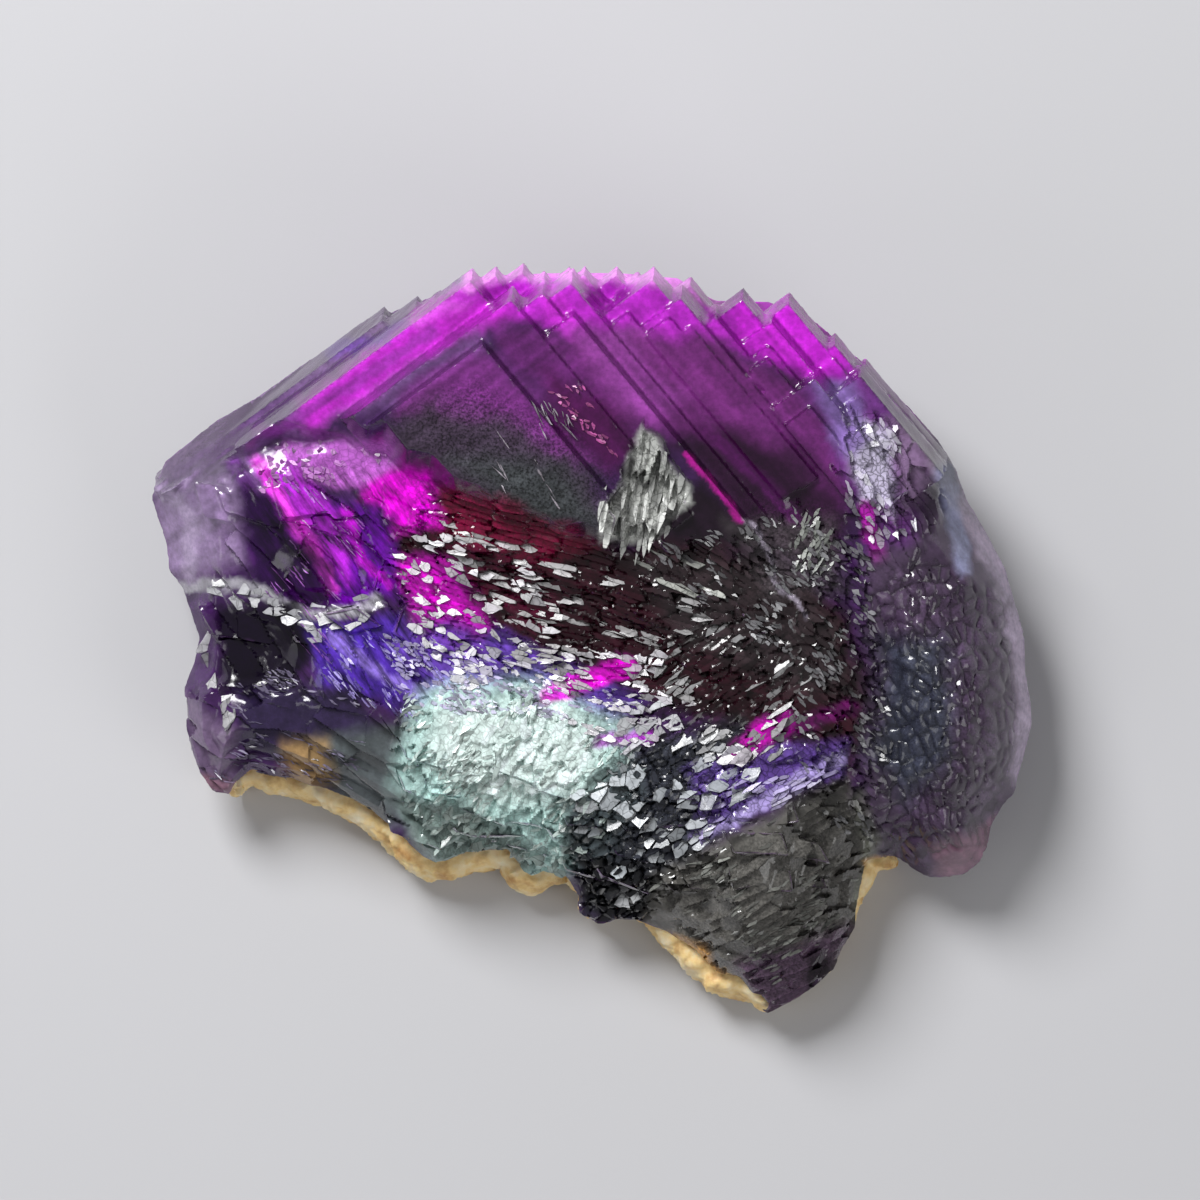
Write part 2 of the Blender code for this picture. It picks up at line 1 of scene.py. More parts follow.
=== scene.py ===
"""Looks of the fluorite specimen: its broken, stepped and grown surfaces, its colour zones and its ochre rim.

Lengths are in metres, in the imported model's frame. Places on the crystal are also given in pixels of the
1200 by 1200 photograph, which looks straight down on it: U runs right and V runs down. Outlines and lines are
lists of such pixels, each point's U and then its V.
"""
import math
from collections import namedtuple

import bpy
import numpy as np
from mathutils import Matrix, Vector
from mathutils.bvhtree import BVHTree


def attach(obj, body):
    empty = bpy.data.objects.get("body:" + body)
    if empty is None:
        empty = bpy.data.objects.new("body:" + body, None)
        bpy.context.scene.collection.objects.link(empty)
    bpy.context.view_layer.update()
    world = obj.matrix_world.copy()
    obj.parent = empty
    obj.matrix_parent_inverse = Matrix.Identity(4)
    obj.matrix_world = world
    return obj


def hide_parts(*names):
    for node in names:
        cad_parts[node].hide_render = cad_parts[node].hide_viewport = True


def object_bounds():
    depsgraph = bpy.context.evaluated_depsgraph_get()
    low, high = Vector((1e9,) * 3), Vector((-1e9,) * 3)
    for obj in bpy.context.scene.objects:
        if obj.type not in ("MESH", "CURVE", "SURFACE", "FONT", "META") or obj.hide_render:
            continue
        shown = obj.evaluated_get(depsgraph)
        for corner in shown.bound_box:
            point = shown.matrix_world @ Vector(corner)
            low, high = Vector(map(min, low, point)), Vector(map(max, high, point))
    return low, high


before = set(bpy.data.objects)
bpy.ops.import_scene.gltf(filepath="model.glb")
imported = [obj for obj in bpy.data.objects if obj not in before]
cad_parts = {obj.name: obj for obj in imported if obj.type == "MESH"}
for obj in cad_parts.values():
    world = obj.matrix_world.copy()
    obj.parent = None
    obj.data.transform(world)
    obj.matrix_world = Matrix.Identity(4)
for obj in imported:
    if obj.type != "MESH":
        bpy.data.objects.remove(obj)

CAD_BOX = [list(corner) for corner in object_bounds()]
MM = 0.001

# The photograph's scale and the pixel that the frame's origin falls on
PIXEL = 0.0588 * MM
ORIGIN_U = 592.0
ORIGIN_V = 640.0
PHOTO_SIZE = 1200

# Meshes
GRID = 0.125 * MM
CRUST_GRID = 0.14 * MM
CRYSTAL_TRIANGLES = 192000
EDGE_WEAR = 4  # how often the crystal's mesh is smoothed
BACK_SHARE = 0.25  # least pull of the thinning, which is 1 on the unseen side
THIN_LEVELS = 4

# Lights: towards them from the specimen, distance, width, and how bright they look
KEY = ((-0.385, 0.577, 0.721), 0.45, 0.19, 28.0)
FILL = ((0.70, -0.50, 0.52), 0.60, 0.40, 2.4)
SIDE = ((-0.80, -0.30, 0.52), 0.60, 0.30, 1.8)
WORLD_LIGHT = 0.24

CAMERA_DISTANCE = 1.2
SENSOR = 36.0
FOCUS_HEIGHT = 7.0 * MM

REFRACTION = 1.434  # fluorite's index


def srgb(red, green, blue):
    """A screen colour from 0 to 255 as linear light."""
    part = np.array([red, green, blue]) / 255.0
    return np.where(part <= 0.04045, part / 12.92, ((part + 0.055) / 1.055) ** 2.4)


# The pale feathery break on the main face, in pixels
FEATHER = [647, 425, 662, 440, 668, 462, 682, 475, 692, 500, 672, 515, 656, 542, 600, 542, 604, 505,
           625, 482, 632, 450]

# Colour patches, laid over each other in this order: shape, points in pixels, softness or half width,
# screen colour, how clear it is (0 to 1), and how strongly it covers what lies below
AREA = "area"
LINE = "line"
BASE_TINT = (66, 34, 86)
BASE_CLEAR = 0.2
UNDER_TINT = (96, 58, 112)  # the unseen broken underside
# The brightest magenta and aqua patches are partly the crystal's colour and partly a painted glow of light
# shining through it
PATCHES = [
    # Left shoulder and flange
    (AREA, [150, 500, 165, 445, 250, 385, 390, 296, 470, 262, 500, 300, 480, 350, 400, 402, 290, 440,
     262, 500, 240, 560, 165, 590], 14, (124, 86, 146), 0.3, 1.0),
    (LINE, [160, 470, 250, 400, 390, 310, 470, 278], 14, (172, 142, 190), 0.4, 0.8),
    (LINE, [330, 352, 400, 330, 440, 312], 10, (138, 84, 206), 0.3, 0.7),
    (AREA, [150, 480, 250, 450, 240, 560, 165, 580], 14, (152, 130, 168), 0.3, 0.85),
    (LINE, [160, 492, 190, 520, 188, 570], 9, (184, 164, 200), 0.4, 0.8),
    (LINE, [200, 470, 226, 500, 222, 545], 7, (170, 140, 190), 0.35, 0.7),
    (LINE, [240, 470, 262, 510, 255, 560], 9, (150, 60, 190), 0.3, 0.7),
    (LINE, [318, 412, 400, 352, 470, 316, 520, 296], 24, (214, 44, 222), 0.15, 0.95),
    (LINE, [420, 318, 470, 292, 540, 284], 14, (240, 96, 246), 0.15, 0.85),
    (LINE, [262, 436, 340, 396, 430, 336], 8, (168, 60, 186), 0.25, 0.7),
    # Crest: bright magenta and a pale pink skyline, partly the crystal's colour and partly a painted glow of
    # light shining through it
    (AREA, [440, 300, 500, 262, 700, 262, 728, 300, 742, 348, 650, 352, 560, 330, 500, 312], 10,
     (196, 44, 210), 0.15, 0.95),
    (LINE, [470, 284, 524, 270, 571, 273, 617, 270, 655, 274, 690, 284, 716, 302], 12, (250, 150, 252),
     0.25, 0.9),
    (LINE, [545, 292, 560, 318, 590, 345], 11, (222, 52, 232), 0.15, 0.8),
    (AREA, [585, 332, 700, 332, 800, 385, 850, 470, 830, 560, 745, 545, 690, 445, 640, 425, 600, 425,
     550, 355], 16, (108, 40, 112), 0.1, 1.0),
    (AREA, [572, 330, 640, 335, 690, 390, 655, 425, 600, 390], 16, (150, 66, 158), 0.1, 0.8),
    (LINE, [640, 345, 705, 395, 760, 445], 12, (132, 50, 136), 0.1, 0.7),
    (AREA, [728, 298, 792, 288, 848, 335, 884, 392, 850, 398, 800, 378, 738, 344], 10, (216, 40, 228), 0.15,
     0.95),
    (LINE, [752, 294, 795, 296, 842, 336, 878, 372], 6, (240, 124, 246), 0.25, 0.8),
    # Right shoulder
    (AREA, [800, 395, 862, 368, 942, 440, 950, 520, 905, 562, 860, 505, 828, 440], 12, (118, 58, 140), 0.2,
     0.95),
    (LINE, [880, 380, 925, 425, 942, 470], 9, (176, 96, 190), 0.3, 0.8),
    (AREA, [845, 420, 895, 435, 895, 515, 862, 505], 8, (222, 214, 242), 0.2, 0.9),
    (AREA, [812, 385, 850, 385, 868, 440, 850, 462, 826, 440], 9, (150, 120, 196), 0.25, 0.85),
    (AREA, [892, 420, 938, 430, 944, 500, 905, 512], 10, (150, 124, 158), 0.3, 0.8),
    (LINE, [866, 512, 884, 560], 9, (196, 24, 186), 0.2, 0.8),
    (LINE, [905, 545, 925, 610], 9, (120, 24, 150), 0.2, 0.8),
    # Main face
    (AREA, [484, 347, 545, 405, 606, 470, 560, 470, 480, 430, 400, 420, 400, 400], 12, (122, 48, 130), 0.1,
     0.9),
    (AREA, [505, 325, 565, 335, 628, 425, 606, 455, 548, 400, 500, 355], 10, (108, 40, 116), 0.1, 0.9),
    (AREA, [385, 432, 440, 400, 520, 425, 600, 475, 612, 540, 540, 524, 470, 497, 400, 468], 18,
     (56, 46, 60), 0.08, 0.95),
    (AREA, [450, 460, 560, 465, 606, 530, 540, 520], 16, (58, 64, 64), 0.08, 0.8),
    (AREA, [540, 372, 600, 398, 655, 440, 612, 476, 560, 432], 14, (70, 10, 66), 0.08, 0.85),
    (AREA, [655, 440, 720, 425, 800, 455, 850, 520, 852, 560, 800, 566, 745, 545, 700, 475], 18,
     (30, 10, 30), 0.08, 0.9),
    (LINE, [700, 430, 760, 480, 800, 520], 8, (84, 20, 88), 0.1, 0.7),
    (AREA, [655, 505, 700, 482, 765, 548, 700, 566, 640, 562], 10, (26, 14, 24), 0.1, 0.95),
    # Bowl: the dark floor of the break
    (AREA, [380, 535, 430, 500, 520, 512, 620, 545, 760, 555, 850, 610, 872, 720, 850, 800, 760, 740,
     640, 700, 520, 650, 430, 600], 14, (44, 12, 24), 0.1, 1.0),
    (AREA, [620, 560, 760, 560, 840, 620, 860, 700, 780, 690, 680, 640], 16, (46, 42, 44), 0.12, 0.7),
    (AREA, [720, 520, 830, 520, 850, 590, 770, 600], 12, (64, 58, 62), 0.12, 0.8),
    (AREA, [425, 480, 520, 502, 600, 545, 560, 562, 470, 548, 430, 522], 10, (116, 8, 52), 0.12, 0.95),
    (AREA, [425, 535, 500, 545, 560, 590, 540, 640, 470, 600], 14, (70, 6, 36), 0.1, 0.9),
    (AREA, [396, 560, 440, 560, 490, 625, 480, 665, 425, 640], 12, (214, 4, 200), 0.1, 0.9),
    (AREA, [368, 464, 430, 470, 444, 522, 398, 534, 366, 504], 9, (240, 2, 226), 0.12, 1.0),
    (AREA, [282, 444, 392, 440, 404, 466, 350, 486, 272, 470], 7, (196, 104, 210), 0.15, 0.9),
    # Left hollows
    (AREA, [236, 478, 320, 500, 335, 600, 250, 602], 10, (36, 4, 56), 0.2, 1.0),
    (AREA, [318, 496, 392, 516, 402, 602, 334, 604], 10, (98, 4, 150), 0.15, 1.0),
    (AREA, [258, 464, 300, 466, 345, 520, 350, 580, 300, 540], 9, (186, 40, 214), 0.15, 0.9),
    (LINE, [266, 468, 296, 515, 330, 584], 8, (246, 70, 240), 0.15, 0.95),
    (LINE, [345, 512, 362, 556, 390, 590], 7, (206, 20, 222), 0.15, 0.9),
    (AREA, [300, 545, 330, 560, 335, 600, 290, 600], 7, (40, 4, 60), 0.2, 0.8),
    # Pale line along the left ridge, under its flakes: partly its whitish broken colour and partly a painted
    # glint
    (LINE, [165, 586, 210, 582, 262, 592, 300, 618, 375, 606], 7, (172, 170, 178), 0.1, 0.85),
    (AREA, [212, 602, 292, 604, 312, 650, 286, 702, 222, 692], 9, (18, 6, 30), 0.2, 1.0),
    (AREA, [300, 625, 400, 622, 435, 675, 395, 702, 318, 682], 10, (84, 46, 178), 0.2, 0.95),
    (LINE, [330, 632, 380, 672, 430, 700], 7, (160, 130, 236), 0.2, 0.8),
    (AREA, [236, 690, 350, 684, 384, 730, 330, 772, 246, 752], 10, (50, 38, 72), 0.25, 1.0),
    (AREA, [310, 742, 420, 715, 425, 800, 385, 832, 318, 792], 12, (98, 106, 108), 0.3, 0.95),
    (AREA, [180, 690, 236, 730, 236, 800, 190, 790], 9, (126, 104, 138), 0.3, 0.95),
    (AREA, [284, 744, 328, 740, 330, 788, 290, 790], 10, (176, 142, 92), 0.2, 0.85),
    (LINE, [200, 775, 240, 795], 10, (160, 116, 130), 0.3, 0.7),
    # Bright window at the lower middle: pale aqua, partly the crystal's colour and partly a painted glow of
    # light shining through it
    (AREA, [385, 640, 450, 622, 545, 655, 640, 700, 590, 728, 430, 702], 12, (112, 72, 190), 0.15, 0.9),
    (AREA, [420, 690, 540, 676, 630, 735, 642, 800, 600, 868, 520, 880, 430, 868, 392, 780], 14,
     (200, 236, 230), 0.2, 1.0),
    (AREA, [436, 708, 545, 694, 606, 745, 572, 800, 480, 806, 426, 765], 16, (236, 255, 250), 0.1, 0.95),
    (AREA, [400, 800, 470, 812, 540, 850, 520, 880, 440, 870, 405, 840], 10, (128, 142, 136), 0.25, 0.8),
    (AREA, [560, 806, 660, 738, 740, 722, 765, 790, 690, 872, 640, 930, 580, 922, 566, 860], 12,
     (54, 58, 66), 0.15, 0.95),
    (AREA, [578, 856, 655, 870, 662, 920, 600, 930, 575, 905], 8, (18, 18, 22), 0.2, 0.95),
    (AREA, [690, 770, 790, 738, 850, 740, 845, 775, 770, 805, 700, 835], 9, (104, 74, 160), 0.15, 0.85),
    (LINE, [700, 836, 770, 800, 842, 754], 8, (190, 172, 236), 0.2, 0.8),
    # Wedge
    (AREA, [655, 872, 720, 842, 850, 776, 876, 870, 856, 960, 800, 1012, 768, 1020, 700, 990, 642, 932], 10,
     (104, 102, 98), 0.3, 1.0),
    (LINE, [866, 800, 870, 860, 858, 920], 10, (124, 128, 112), 0.35, 0.8),
    (AREA, [735, 965, 856, 925, 815, 1005, 768, 1022], 12, (98, 72, 100), 0.35, 0.85),
    (AREA, [800, 962, 826, 955, 832, 980, 806, 988], 6, (26, 16, 26), 0.2, 0.9),
    (AREA, [640, 930, 702, 944, 750, 1004, 715, 1004, 672, 972], 7, (206, 152, 78), 0.15, 0.95),
    # Right lobe
    (AREA, [866, 560, 905, 540, 942, 440, 1000, 545, 1036, 650, 1036, 740, 1000, 860, 935, 886, 876, 868,
     868, 780], 12, (84, 66, 92), 0.3, 1.0),
    (AREA, [878, 640, 945, 640, 955, 760, 905, 805, 872, 745], 18, (54, 66, 78), 0.25, 0.75),
    (LINE, [948, 462, 990, 540, 1022, 612, 1032, 700, 1026, 770], 18, (192, 174, 202), 0.4, 0.95),
    (LINE, [948, 470, 962, 565], 12, (176, 180, 222), 0.4, 0.85),
    (AREA, [932, 842, 1004, 816, 992, 872, 948, 886], 9, (162, 116, 140), 0.4, 0.85),
    (LINE, [868, 866, 900, 868], 6, (210, 160, 88), 0.2, 0.85),
    # Magenta glows and pale edges over the break: the glows are partly the crystal's colour and partly a
    # painted glow of light shining through it
    (LINE, [545, 696, 585, 682, 624, 662], 11, (246, 10, 226), 0.1, 0.95),
    (LINE, [600, 740, 650, 738], 7, (196, 60, 220), 0.1, 0.8),
    (LINE, [736, 750, 760, 734, 790, 718], 10, (206, 8, 186), 0.1, 0.9),
    (LINE, [780, 728, 850, 708], 10, (92, 8, 84), 0.1, 0.8),
    (LINE, [690, 458, 740, 520], 4, (196, 24, 160), 0.15, 0.75),
    (LINE, [745, 520, 802, 622], 2.5, (168, 158, 176), 0.15, 0.7),
    (AREA, FEATHER, 4, (186, 188, 184), 0.1, 1.0),
]

# Where fine marks show: outline in pixels, softness, strength
SPECKLED = [
    ([392, 420, 480, 385, 560, 430, 610, 480, 612, 540, 540, 524, 470, 497], 24, 1.0),
    ([740, 500, 840, 510, 850, 600, 760, 600], 16, 0.7),
    ([655, 880, 860, 800, 860, 960, 770, 1015, 690, 985], 16, 0.6),
    ([880, 560, 1000, 600, 1010, 800, 900, 840], 20, 0.4),
]
VEINED = [
    ([282, 444, 392, 440, 404, 466, 350, 486, 272, 470], 8, 0.4),
    ([400, 466, 520, 500, 600, 545, 540, 600, 420, 560], 12, 0.5),
    ([400, 700, 620, 690, 650, 800, 560, 880, 430, 870], 20, 0.45),
    (FEATHER, 4, 0.7),
    ([600, 730, 735, 722, 720, 800, 620, 860], 12, 0.9),
    ([840, 410, 900, 420, 910, 530, 860, 530], 10, 0.9),
    ([690, 740, 850, 740, 845, 775, 700, 840], 10, 0.8),
]
STREAKED = [
    ([236, 460, 440, 470, 440, 700, 300, 700], 16, 1.0),
    ([400, 540, 600, 560, 640, 720, 430, 700], 20, 0.5),
]

# Broken surfaces: the way the pieces run (degrees, anticlockwise from +X), a piece's length and width in
# mm, how far the pieces stand apart in mm, how steeply they tilt, the cracks' depth in mm and their width
# as a share of a piece, how much the pieces' tone differs at random and how much painted shade darkens
# their cracks, and the outline
Region = namedtuple("Region", "way length width step tilt depth crack contrast outline")
REGIONS = {
    "left_hollows": Region(-50, 3.6, 1.3, 0.1, 0.14, 0.01, 0.1, 0.15,
     [236, 470, 330, 480, 385, 480, 410, 600, 440, 700, 320, 700, 215, 700, 210, 600]),
    "lower_left": Region(-25, 3.2, 1.3, 0.05, 0.08, 0.01, 0.1, 0.12,
     [180, 690, 400, 690, 410, 830, 330, 800, 230, 800, 185, 780]),
    "dark_right": Region(-38, 1.1, 0.35, 0.14, 0.26, 0.06, 0.2, 0.5,
     [600, 545, 720, 530, 800, 500, 868, 548, 890, 700, 875, 860, 800, 800, 790, 660, 690, 600]),
    "shoulder_cracks": Region(-62, 1.7, 0.6, 0.08, 0.15, 0.03, 0.12, 0.3,
     [845, 400, 900, 425, 950, 500, 905, 570, 850, 560, 835, 480]),
    "rows": Region(-17, 1.9, 0.34, 0.15, 0.26, 0.08, 0.22, 0.5,
     [385, 560, 425, 486, 520, 504, 602, 545, 690, 590, 770, 640, 780, 720, 700, 745, 610, 725, 510, 690,
      425, 655]),
    "upright_shards": Region(33, 1.5, 0.38, 0.14, 0.26, 0.08, 0.22, 0.5,
     [640, 655, 700, 610, 790, 610, 812, 680, 790, 750, 690, 770, 640, 735]),
    "window": Region(62, 1.2, 0.45, 0.035, 0.09, 0.01, 0.12, 0.12,
     [395, 690, 560, 682, 650, 760, 600, 872, 520, 885, 430, 870, 395, 780]),
    "blocks": Region(32, 0.8, 0.5, 0.24, 0.4, 0.16, 0.24, 0.6,
     [575, 790, 640, 745, 735, 722, 765, 790, 690, 875, 640, 935, 575, 925, 568, 860]),
    "wedge": Region(28, 2.6, 0.5, 0.01, 0.05, 0.01, 0.14, 0.16,
     [655, 880, 720, 842, 850, 775, 876, 870, 856, 960, 800, 1012, 768, 1020, 700, 990]),
    "lobe": Region(-72, 0.95, 0.65, 0.16, 0.25, 0.16, 0.45, 0.45,
     [866, 600, 905, 560, 950, 560, 1010, 600, 1020, 740, 990, 850, 876, 868]),
    "feather": Region(80, 3.4, 0.3, 0.06, 0.15, 0.02, 0.16, 0.18, FEATHER),
}
PIECE_BEND = 0.5  # how far the pieces' rows wander, in widths of a piece
BEND_REACH = 1.4  # length over which they do, in lengths of a piece

# How far outlines wander and over what length, in pixels, and the noise's seed where it has one of its own
PATCH_WANDERS = ((10.0, 42.0, 11), (4.0, 9.0, 21))
REGION_WANDER = (9.0, 26.0)
FLAKE_WANDER = (8.0, 24.0, 33)
MARK_WANDER = (8.0, 30.0, 71)

REGION_SOFT = 9.0  # pixels over which a broken surface fades out
BROKEN_FADE = (-4.0, 10.0)  # pixels inside its outline over which the growth lines end
MOST_LIFT = 0.4 * MM  # furthest that a piece is moved
MOST_SUNK = 0.7  # share of the pieces' step that lies below the surface
FACE_SLOPE = (0.048, 0.39)  # rise along +X and +Y of the growth faces
PIECE_SLOPE = 0.4  # how much of it the broken pieces have
KNOB_DEPTH = 0.22 * MM
KNOB_ROUND = 0.8  # where a knob's top begins, from its edge

# Growth lines on the unbroken faces, broad and fine: width, how much longer than wide, and strength
GROWTH_STEPS = ((0.34 * MM, 12, 1.0), (0.16 * MM, 16, 0.6))
GROWTH_STRIPES = ((0.55 * MM, 14, 1.0), (0.2 * MM, 20, 0.7))
LEFT_EDGE = math.radians(36)  # the way the plates' left and right edges run
RIGHT_EDGE = math.radians(-50)
TURN_AT = (560, 640)  # pixel columns between which the lines change from one way to the other
TURN_WANDER = 60
TURN_LUMP = 6 * MM
STEP_HEIGHT = 0.018 * MM
STEP_LEVELS = 1.6
STEP_SLOPE = 0.006 * MM
FACE_SUNK = 0.03 * MM  # keeps the steps inside the CAD model
STRIPE_CONTRAST = 0.22

# Finer relief
FRONT_FROM = (0.05, 0.35)  # upward part of the normal between which the front's relief fades in
GRAIN_HEIGHT = 0.012 * MM
GRAIN_SIZE = 0.3 * MM
DENT_DEPTH = 0.16 * MM
DENT_SIZES = (2.6 * MM, 1.1 * MM)
DENT_SUNK = 0.8

# Paint
LINE_FADE = (0.35, 1.3)  # where a line's colour begins to fade and ends, in half widths
FACING_FROM = (0.0, 0.4)  # upward part of the normal between which the front's paint fades in
FACE_ROUGHNESS = 0.14
CORNER_SHARE = 0.6  # a corner's paint is of the place this far from its face's middle towards it
PIECE_CONTRAST = 1.6
PIECE_ROUGHNESS = (-0.02, 0.08)  # added to a piece's roughness at least, and by chance
UNDER_COVER = 0.75
# Painted shade on the plates' narrow side walls: how strongly it covers, and what is left of a plate's colour
# there
WALL_COVER = 0.8
WALL_SHADE = (0.30, 0.32, 0.30)  # what is left of a plate's colour on its side wall
WALL_FROM = (275, 300)  # pixel rows between which the plates' dark walls begin, and end
WALL_TO = (470, 520)
STREAK_WAY = -55  # degrees
STREAK_DRAW = 6.0  # how much longer than wide
VEIN_WANDER = 0.6 * MM
VEIN_LUMPS = 1.5  # per millimetre
ABSORPTION = ((0.55, 0.32, 0.75, 1.0), 40.0)  # colour that passes, and density per metre
CRYSTAL_COAT = (0.25, 0.06)  # the polish's weight and roughness
FLAKE_COAT = (0.2, 0.12)
CRYSTAL_SHARP = 32  # degrees from which an edge stays sharp
CRUST_SHARP = 50

# Pale cleavage flakes that catch the light: the way they run and how far they stray from it in degrees,
# shortest and longest, narrowest and widest in mm, share of the places taken, screen colour (partly the
# flakes' whitish cleavage and partly a painted glint), how much of the colour below shows in it, share of
# them that is turned to the key light, and the outline
Shards = namedtuple("Shards", "way stray short long narrow wide share colour mixed shining outline")
FLAKES = {
    "rows_left": Shards(-26, 14, 0.5, 1.3, 0.26, 0.56, 0.5, (226, 224, 230), 0.12, 0.8,
     [392, 556, 440, 522, 520, 545, 560, 610, 540, 690, 470, 696, 415, 645]),
    "rows_middle": Shards(-13, 9, 0.8, 1.9, 0.18, 0.4, 0.3, (206, 204, 206), 0.1, 0.7,
     [430, 512, 600, 553, 700, 590, 700, 700, 560, 705, 490, 640]),
    "rows_lower": Shards(-16, 16, 0.55, 1.3, 0.24, 0.5, 0.46, (224, 220, 228), 0.12, 0.7,
     [540, 640, 650, 650, 700, 700, 660, 745, 590, 735, 520, 695]),
    "upright": Shards(36, 12, 0.6, 1.6, 0.18, 0.4, 0.22, (168, 168, 170), 0.1, 0.5,
     [640, 660, 700, 612, 790, 612, 815, 680, 790, 752, 690, 772, 640, 735]),
    "large_pale": Shards(24, 10, 0.9, 1.6, 0.45, 0.85, 0.5, (216, 218, 222), 0.08, 0.6,
     [610, 696, 690, 694, 765, 700, 760, 752, 690, 765, 620, 738]),
    "ridge": Shards(-4, 22, 0.6, 1.4, 0.35, 0.75, 0.92, (216, 216, 222), 0.06, 0.6,
     [204, 588, 214, 576, 258, 570, 266, 592, 300, 606, 372, 600, 374, 622, 322, 638, 282, 632, 262, 610,
      214, 606]),
    "blocks": Shards(32, 8, 0.8, 1.3, 0.5, 0.8, 0.66, (208, 214, 220), 0.15, 0.6,
     [575, 792, 640, 745, 735, 722, 765, 785, 690, 860, 640, 880, 585, 862]),
    "black_blocks": Shards(40, 50, 0.6, 1.0, 0.5, 0.8, 0.4, (226, 228, 232), 0.05, 0.7,
     [588, 862, 650, 872, 654, 904, 608, 912, 588, 898]),
    "window": Shards(40, 60, 0.3, 1.0, 0.1, 0.24, 0.22, (236, 254, 248), 0.4, 0.1,
     [395, 690, 560, 680, 650, 760, 600, 868, 520, 880, 430, 868, 395, 780]),
    "window_foot": Shards(30, 50, 0.5, 1.0, 0.35, 0.65, 0.4, (190, 204, 198), 0.3, 0.3,
     [420, 812, 540, 800, 600, 830, 575, 878, 500, 872, 430, 862]),
    "blue_edge": Shards(-30, 40, 0.3, 0.8, 0.12, 0.26, 0.55, (216, 206, 246), 0.3, 0.3,
     [385, 635, 540, 655, 640, 705, 560, 720, 400, 705]),
    "lilac": Shards(28, 10, 0.6, 1.6, 0.14, 0.3, 0.5, (206, 194, 240), 0.25, 0.5,
     [690, 825, 700, 800, 770, 765, 845, 745, 845, 768, 775, 808, 705, 842]),
    "wedge": Shards(26, 30, 0.4, 1.2, 0.08, 0.2, 0.2, (150, 152, 146), 0.4, 0.1,
     [655, 880, 720, 846, 850, 780, 876, 870, 856, 950, 790, 990, 700, 975]),
    "dark_right": Shards(-42, 40, 0.3, 0.9, 0.12, 0.26, 0.26, (150, 150, 154), 0.3, 0.2,
     [640, 548, 730, 530, 800, 508, 872, 560, 888, 700, 875, 850, 800, 800, 790, 660, 690, 600]),
    "cluster": Shards(62, 18, 0.5, 1.2, 0.14, 0.28, 0.75, (170, 174, 168), 0.1, 0.3,
     [786, 514, 815, 506, 833, 540, 828, 576, 800, 570, 785, 545]),
    "leaves": Shards(-22, 8, 1.2, 2.6, 0.2, 0.36, 0.6, (206, 208, 202), 0.1, 0.3,
     [632, 562, 690, 556, 735, 580, 730, 606, 680, 596]),
    "shoulder": Shards(-64, 20, 0.35, 1.1, 0.16, 0.42, 0.32, (240, 236, 250), 0.35, 0.3,
     [845, 405, 895, 420, 925, 500, 900, 560, 860, 540, 840, 470]),
    "hollows": Shards(-50, 14, 0.5, 1.6, 0.04, 0.1, 0.07, (196, 120, 224), 0.4, 0.2,
     [240, 475, 385, 500, 410, 600, 440, 690, 320, 690, 300, 600, 245, 600]),
    "lower_left": Shards(-25, 50, 0.3, 1.0, 0.04, 0.13, 0.13, (150, 140, 172), 0.3, 0.12,
     [215, 650, 400, 700, 410, 800, 330, 790, 230, 790, 190, 770]),
    "blue_lines": Shards(-52, 12, 0.5, 1.4, 0.07, 0.15, 0.26, (186, 168, 250), 0.4, 0.3,
     [345, 628, 440, 640, 455, 704, 400, 722, 330, 684]),
    "feather": Shards(80, 5, 1.2, 2.6, 0.2, 0.38, 0.88, (240, 242, 238), 0.0, 0.25, FEATHER),
    "crackle": Shards(-38, 50, 0.25, 0.6, 0.16, 0.34, 0.4, (232, 170, 238), 0.5, 0.12,
     [284, 446, 392, 442, 402, 466, 350, 484, 262, 490, 255, 465]),
    "left_streak": Shards(80, 16, 0.8, 1.5, 0.35, 0.7, 0.75, (210, 208, 214), 0.05, 0.5,
     [204, 610, 216, 612, 215, 640, 224, 690, 240, 728, 236, 748, 222, 730, 206, 690, 201, 650]),
    "scratches": Shards(-60, 30, 0.6, 1.8, 0.04, 0.08, 0.05, (196, 186, 198), 0.2, 0.5,
     [470, 400, 560, 400, 620, 480, 600, 520, 500, 490]),
    "face_chips": Shards(-40, 60, 0.2, 0.7, 0.08, 0.2, 0.16, (226, 110, 190), 0.3, 0.3,
     [540, 380, 610, 390, 650, 440, 610, 460]),
}
SITE_PLAY = 0.40  # how far a shard's middle strays, as a share of its place
SITE_SHARE = 0.85  # places that have a shard of their own; its neighbours grow over the others
SHARD_REACH = 1.3  # furthest edge of a shard, in shards
SHARD_FILL = (0.78, 0.97)  # how much of its ground a shard fills
# How bright a flake's pale colour, partly a painted glint, is at least and at most
SHARD_BRIGHT = (0.35, 0.95)
CORNER_PLAY = (0.85, 1.08)
RAGGED_FROM = 0.22 * MM  # longer edges are bent
RAGGED = 0.035 * MM  # how far they are
CLUSTER_ROW = 0.7 * MM  # size of the clusters that the shards keep to: rows, and patches
CLUSTER_PATCH = 2.2 * MM
GLINT_SLOPE = (0.223, -0.335)  # rise along +X and +Y of a face that mirrors the key light up to the camera
GLINT_PLAY = 0.09
MOST_RISE = 0.14 * MM
STEEPEST = 0.35  # least upward part of the normal where a shard can lie
FLAKE_PROUD = 0.04 * MM
FLAKE_THICK = 0.16 * MM
FLAKE_SEED = 20
FLAKE_FLARE = 1.05  # how much wider a shard is at its foot

# Ochre rim
CRUST_SWELL = 0.55 * MM
CRUST_LUMPS = (1.3 * MM, 0.5 * MM)
CRUST_LEVEL = 0.7
CRUST_STOPS = ((0.30, (186, 136, 76)), (0.48, (236, 206, 144)), (0.70, (244, 232, 200)))

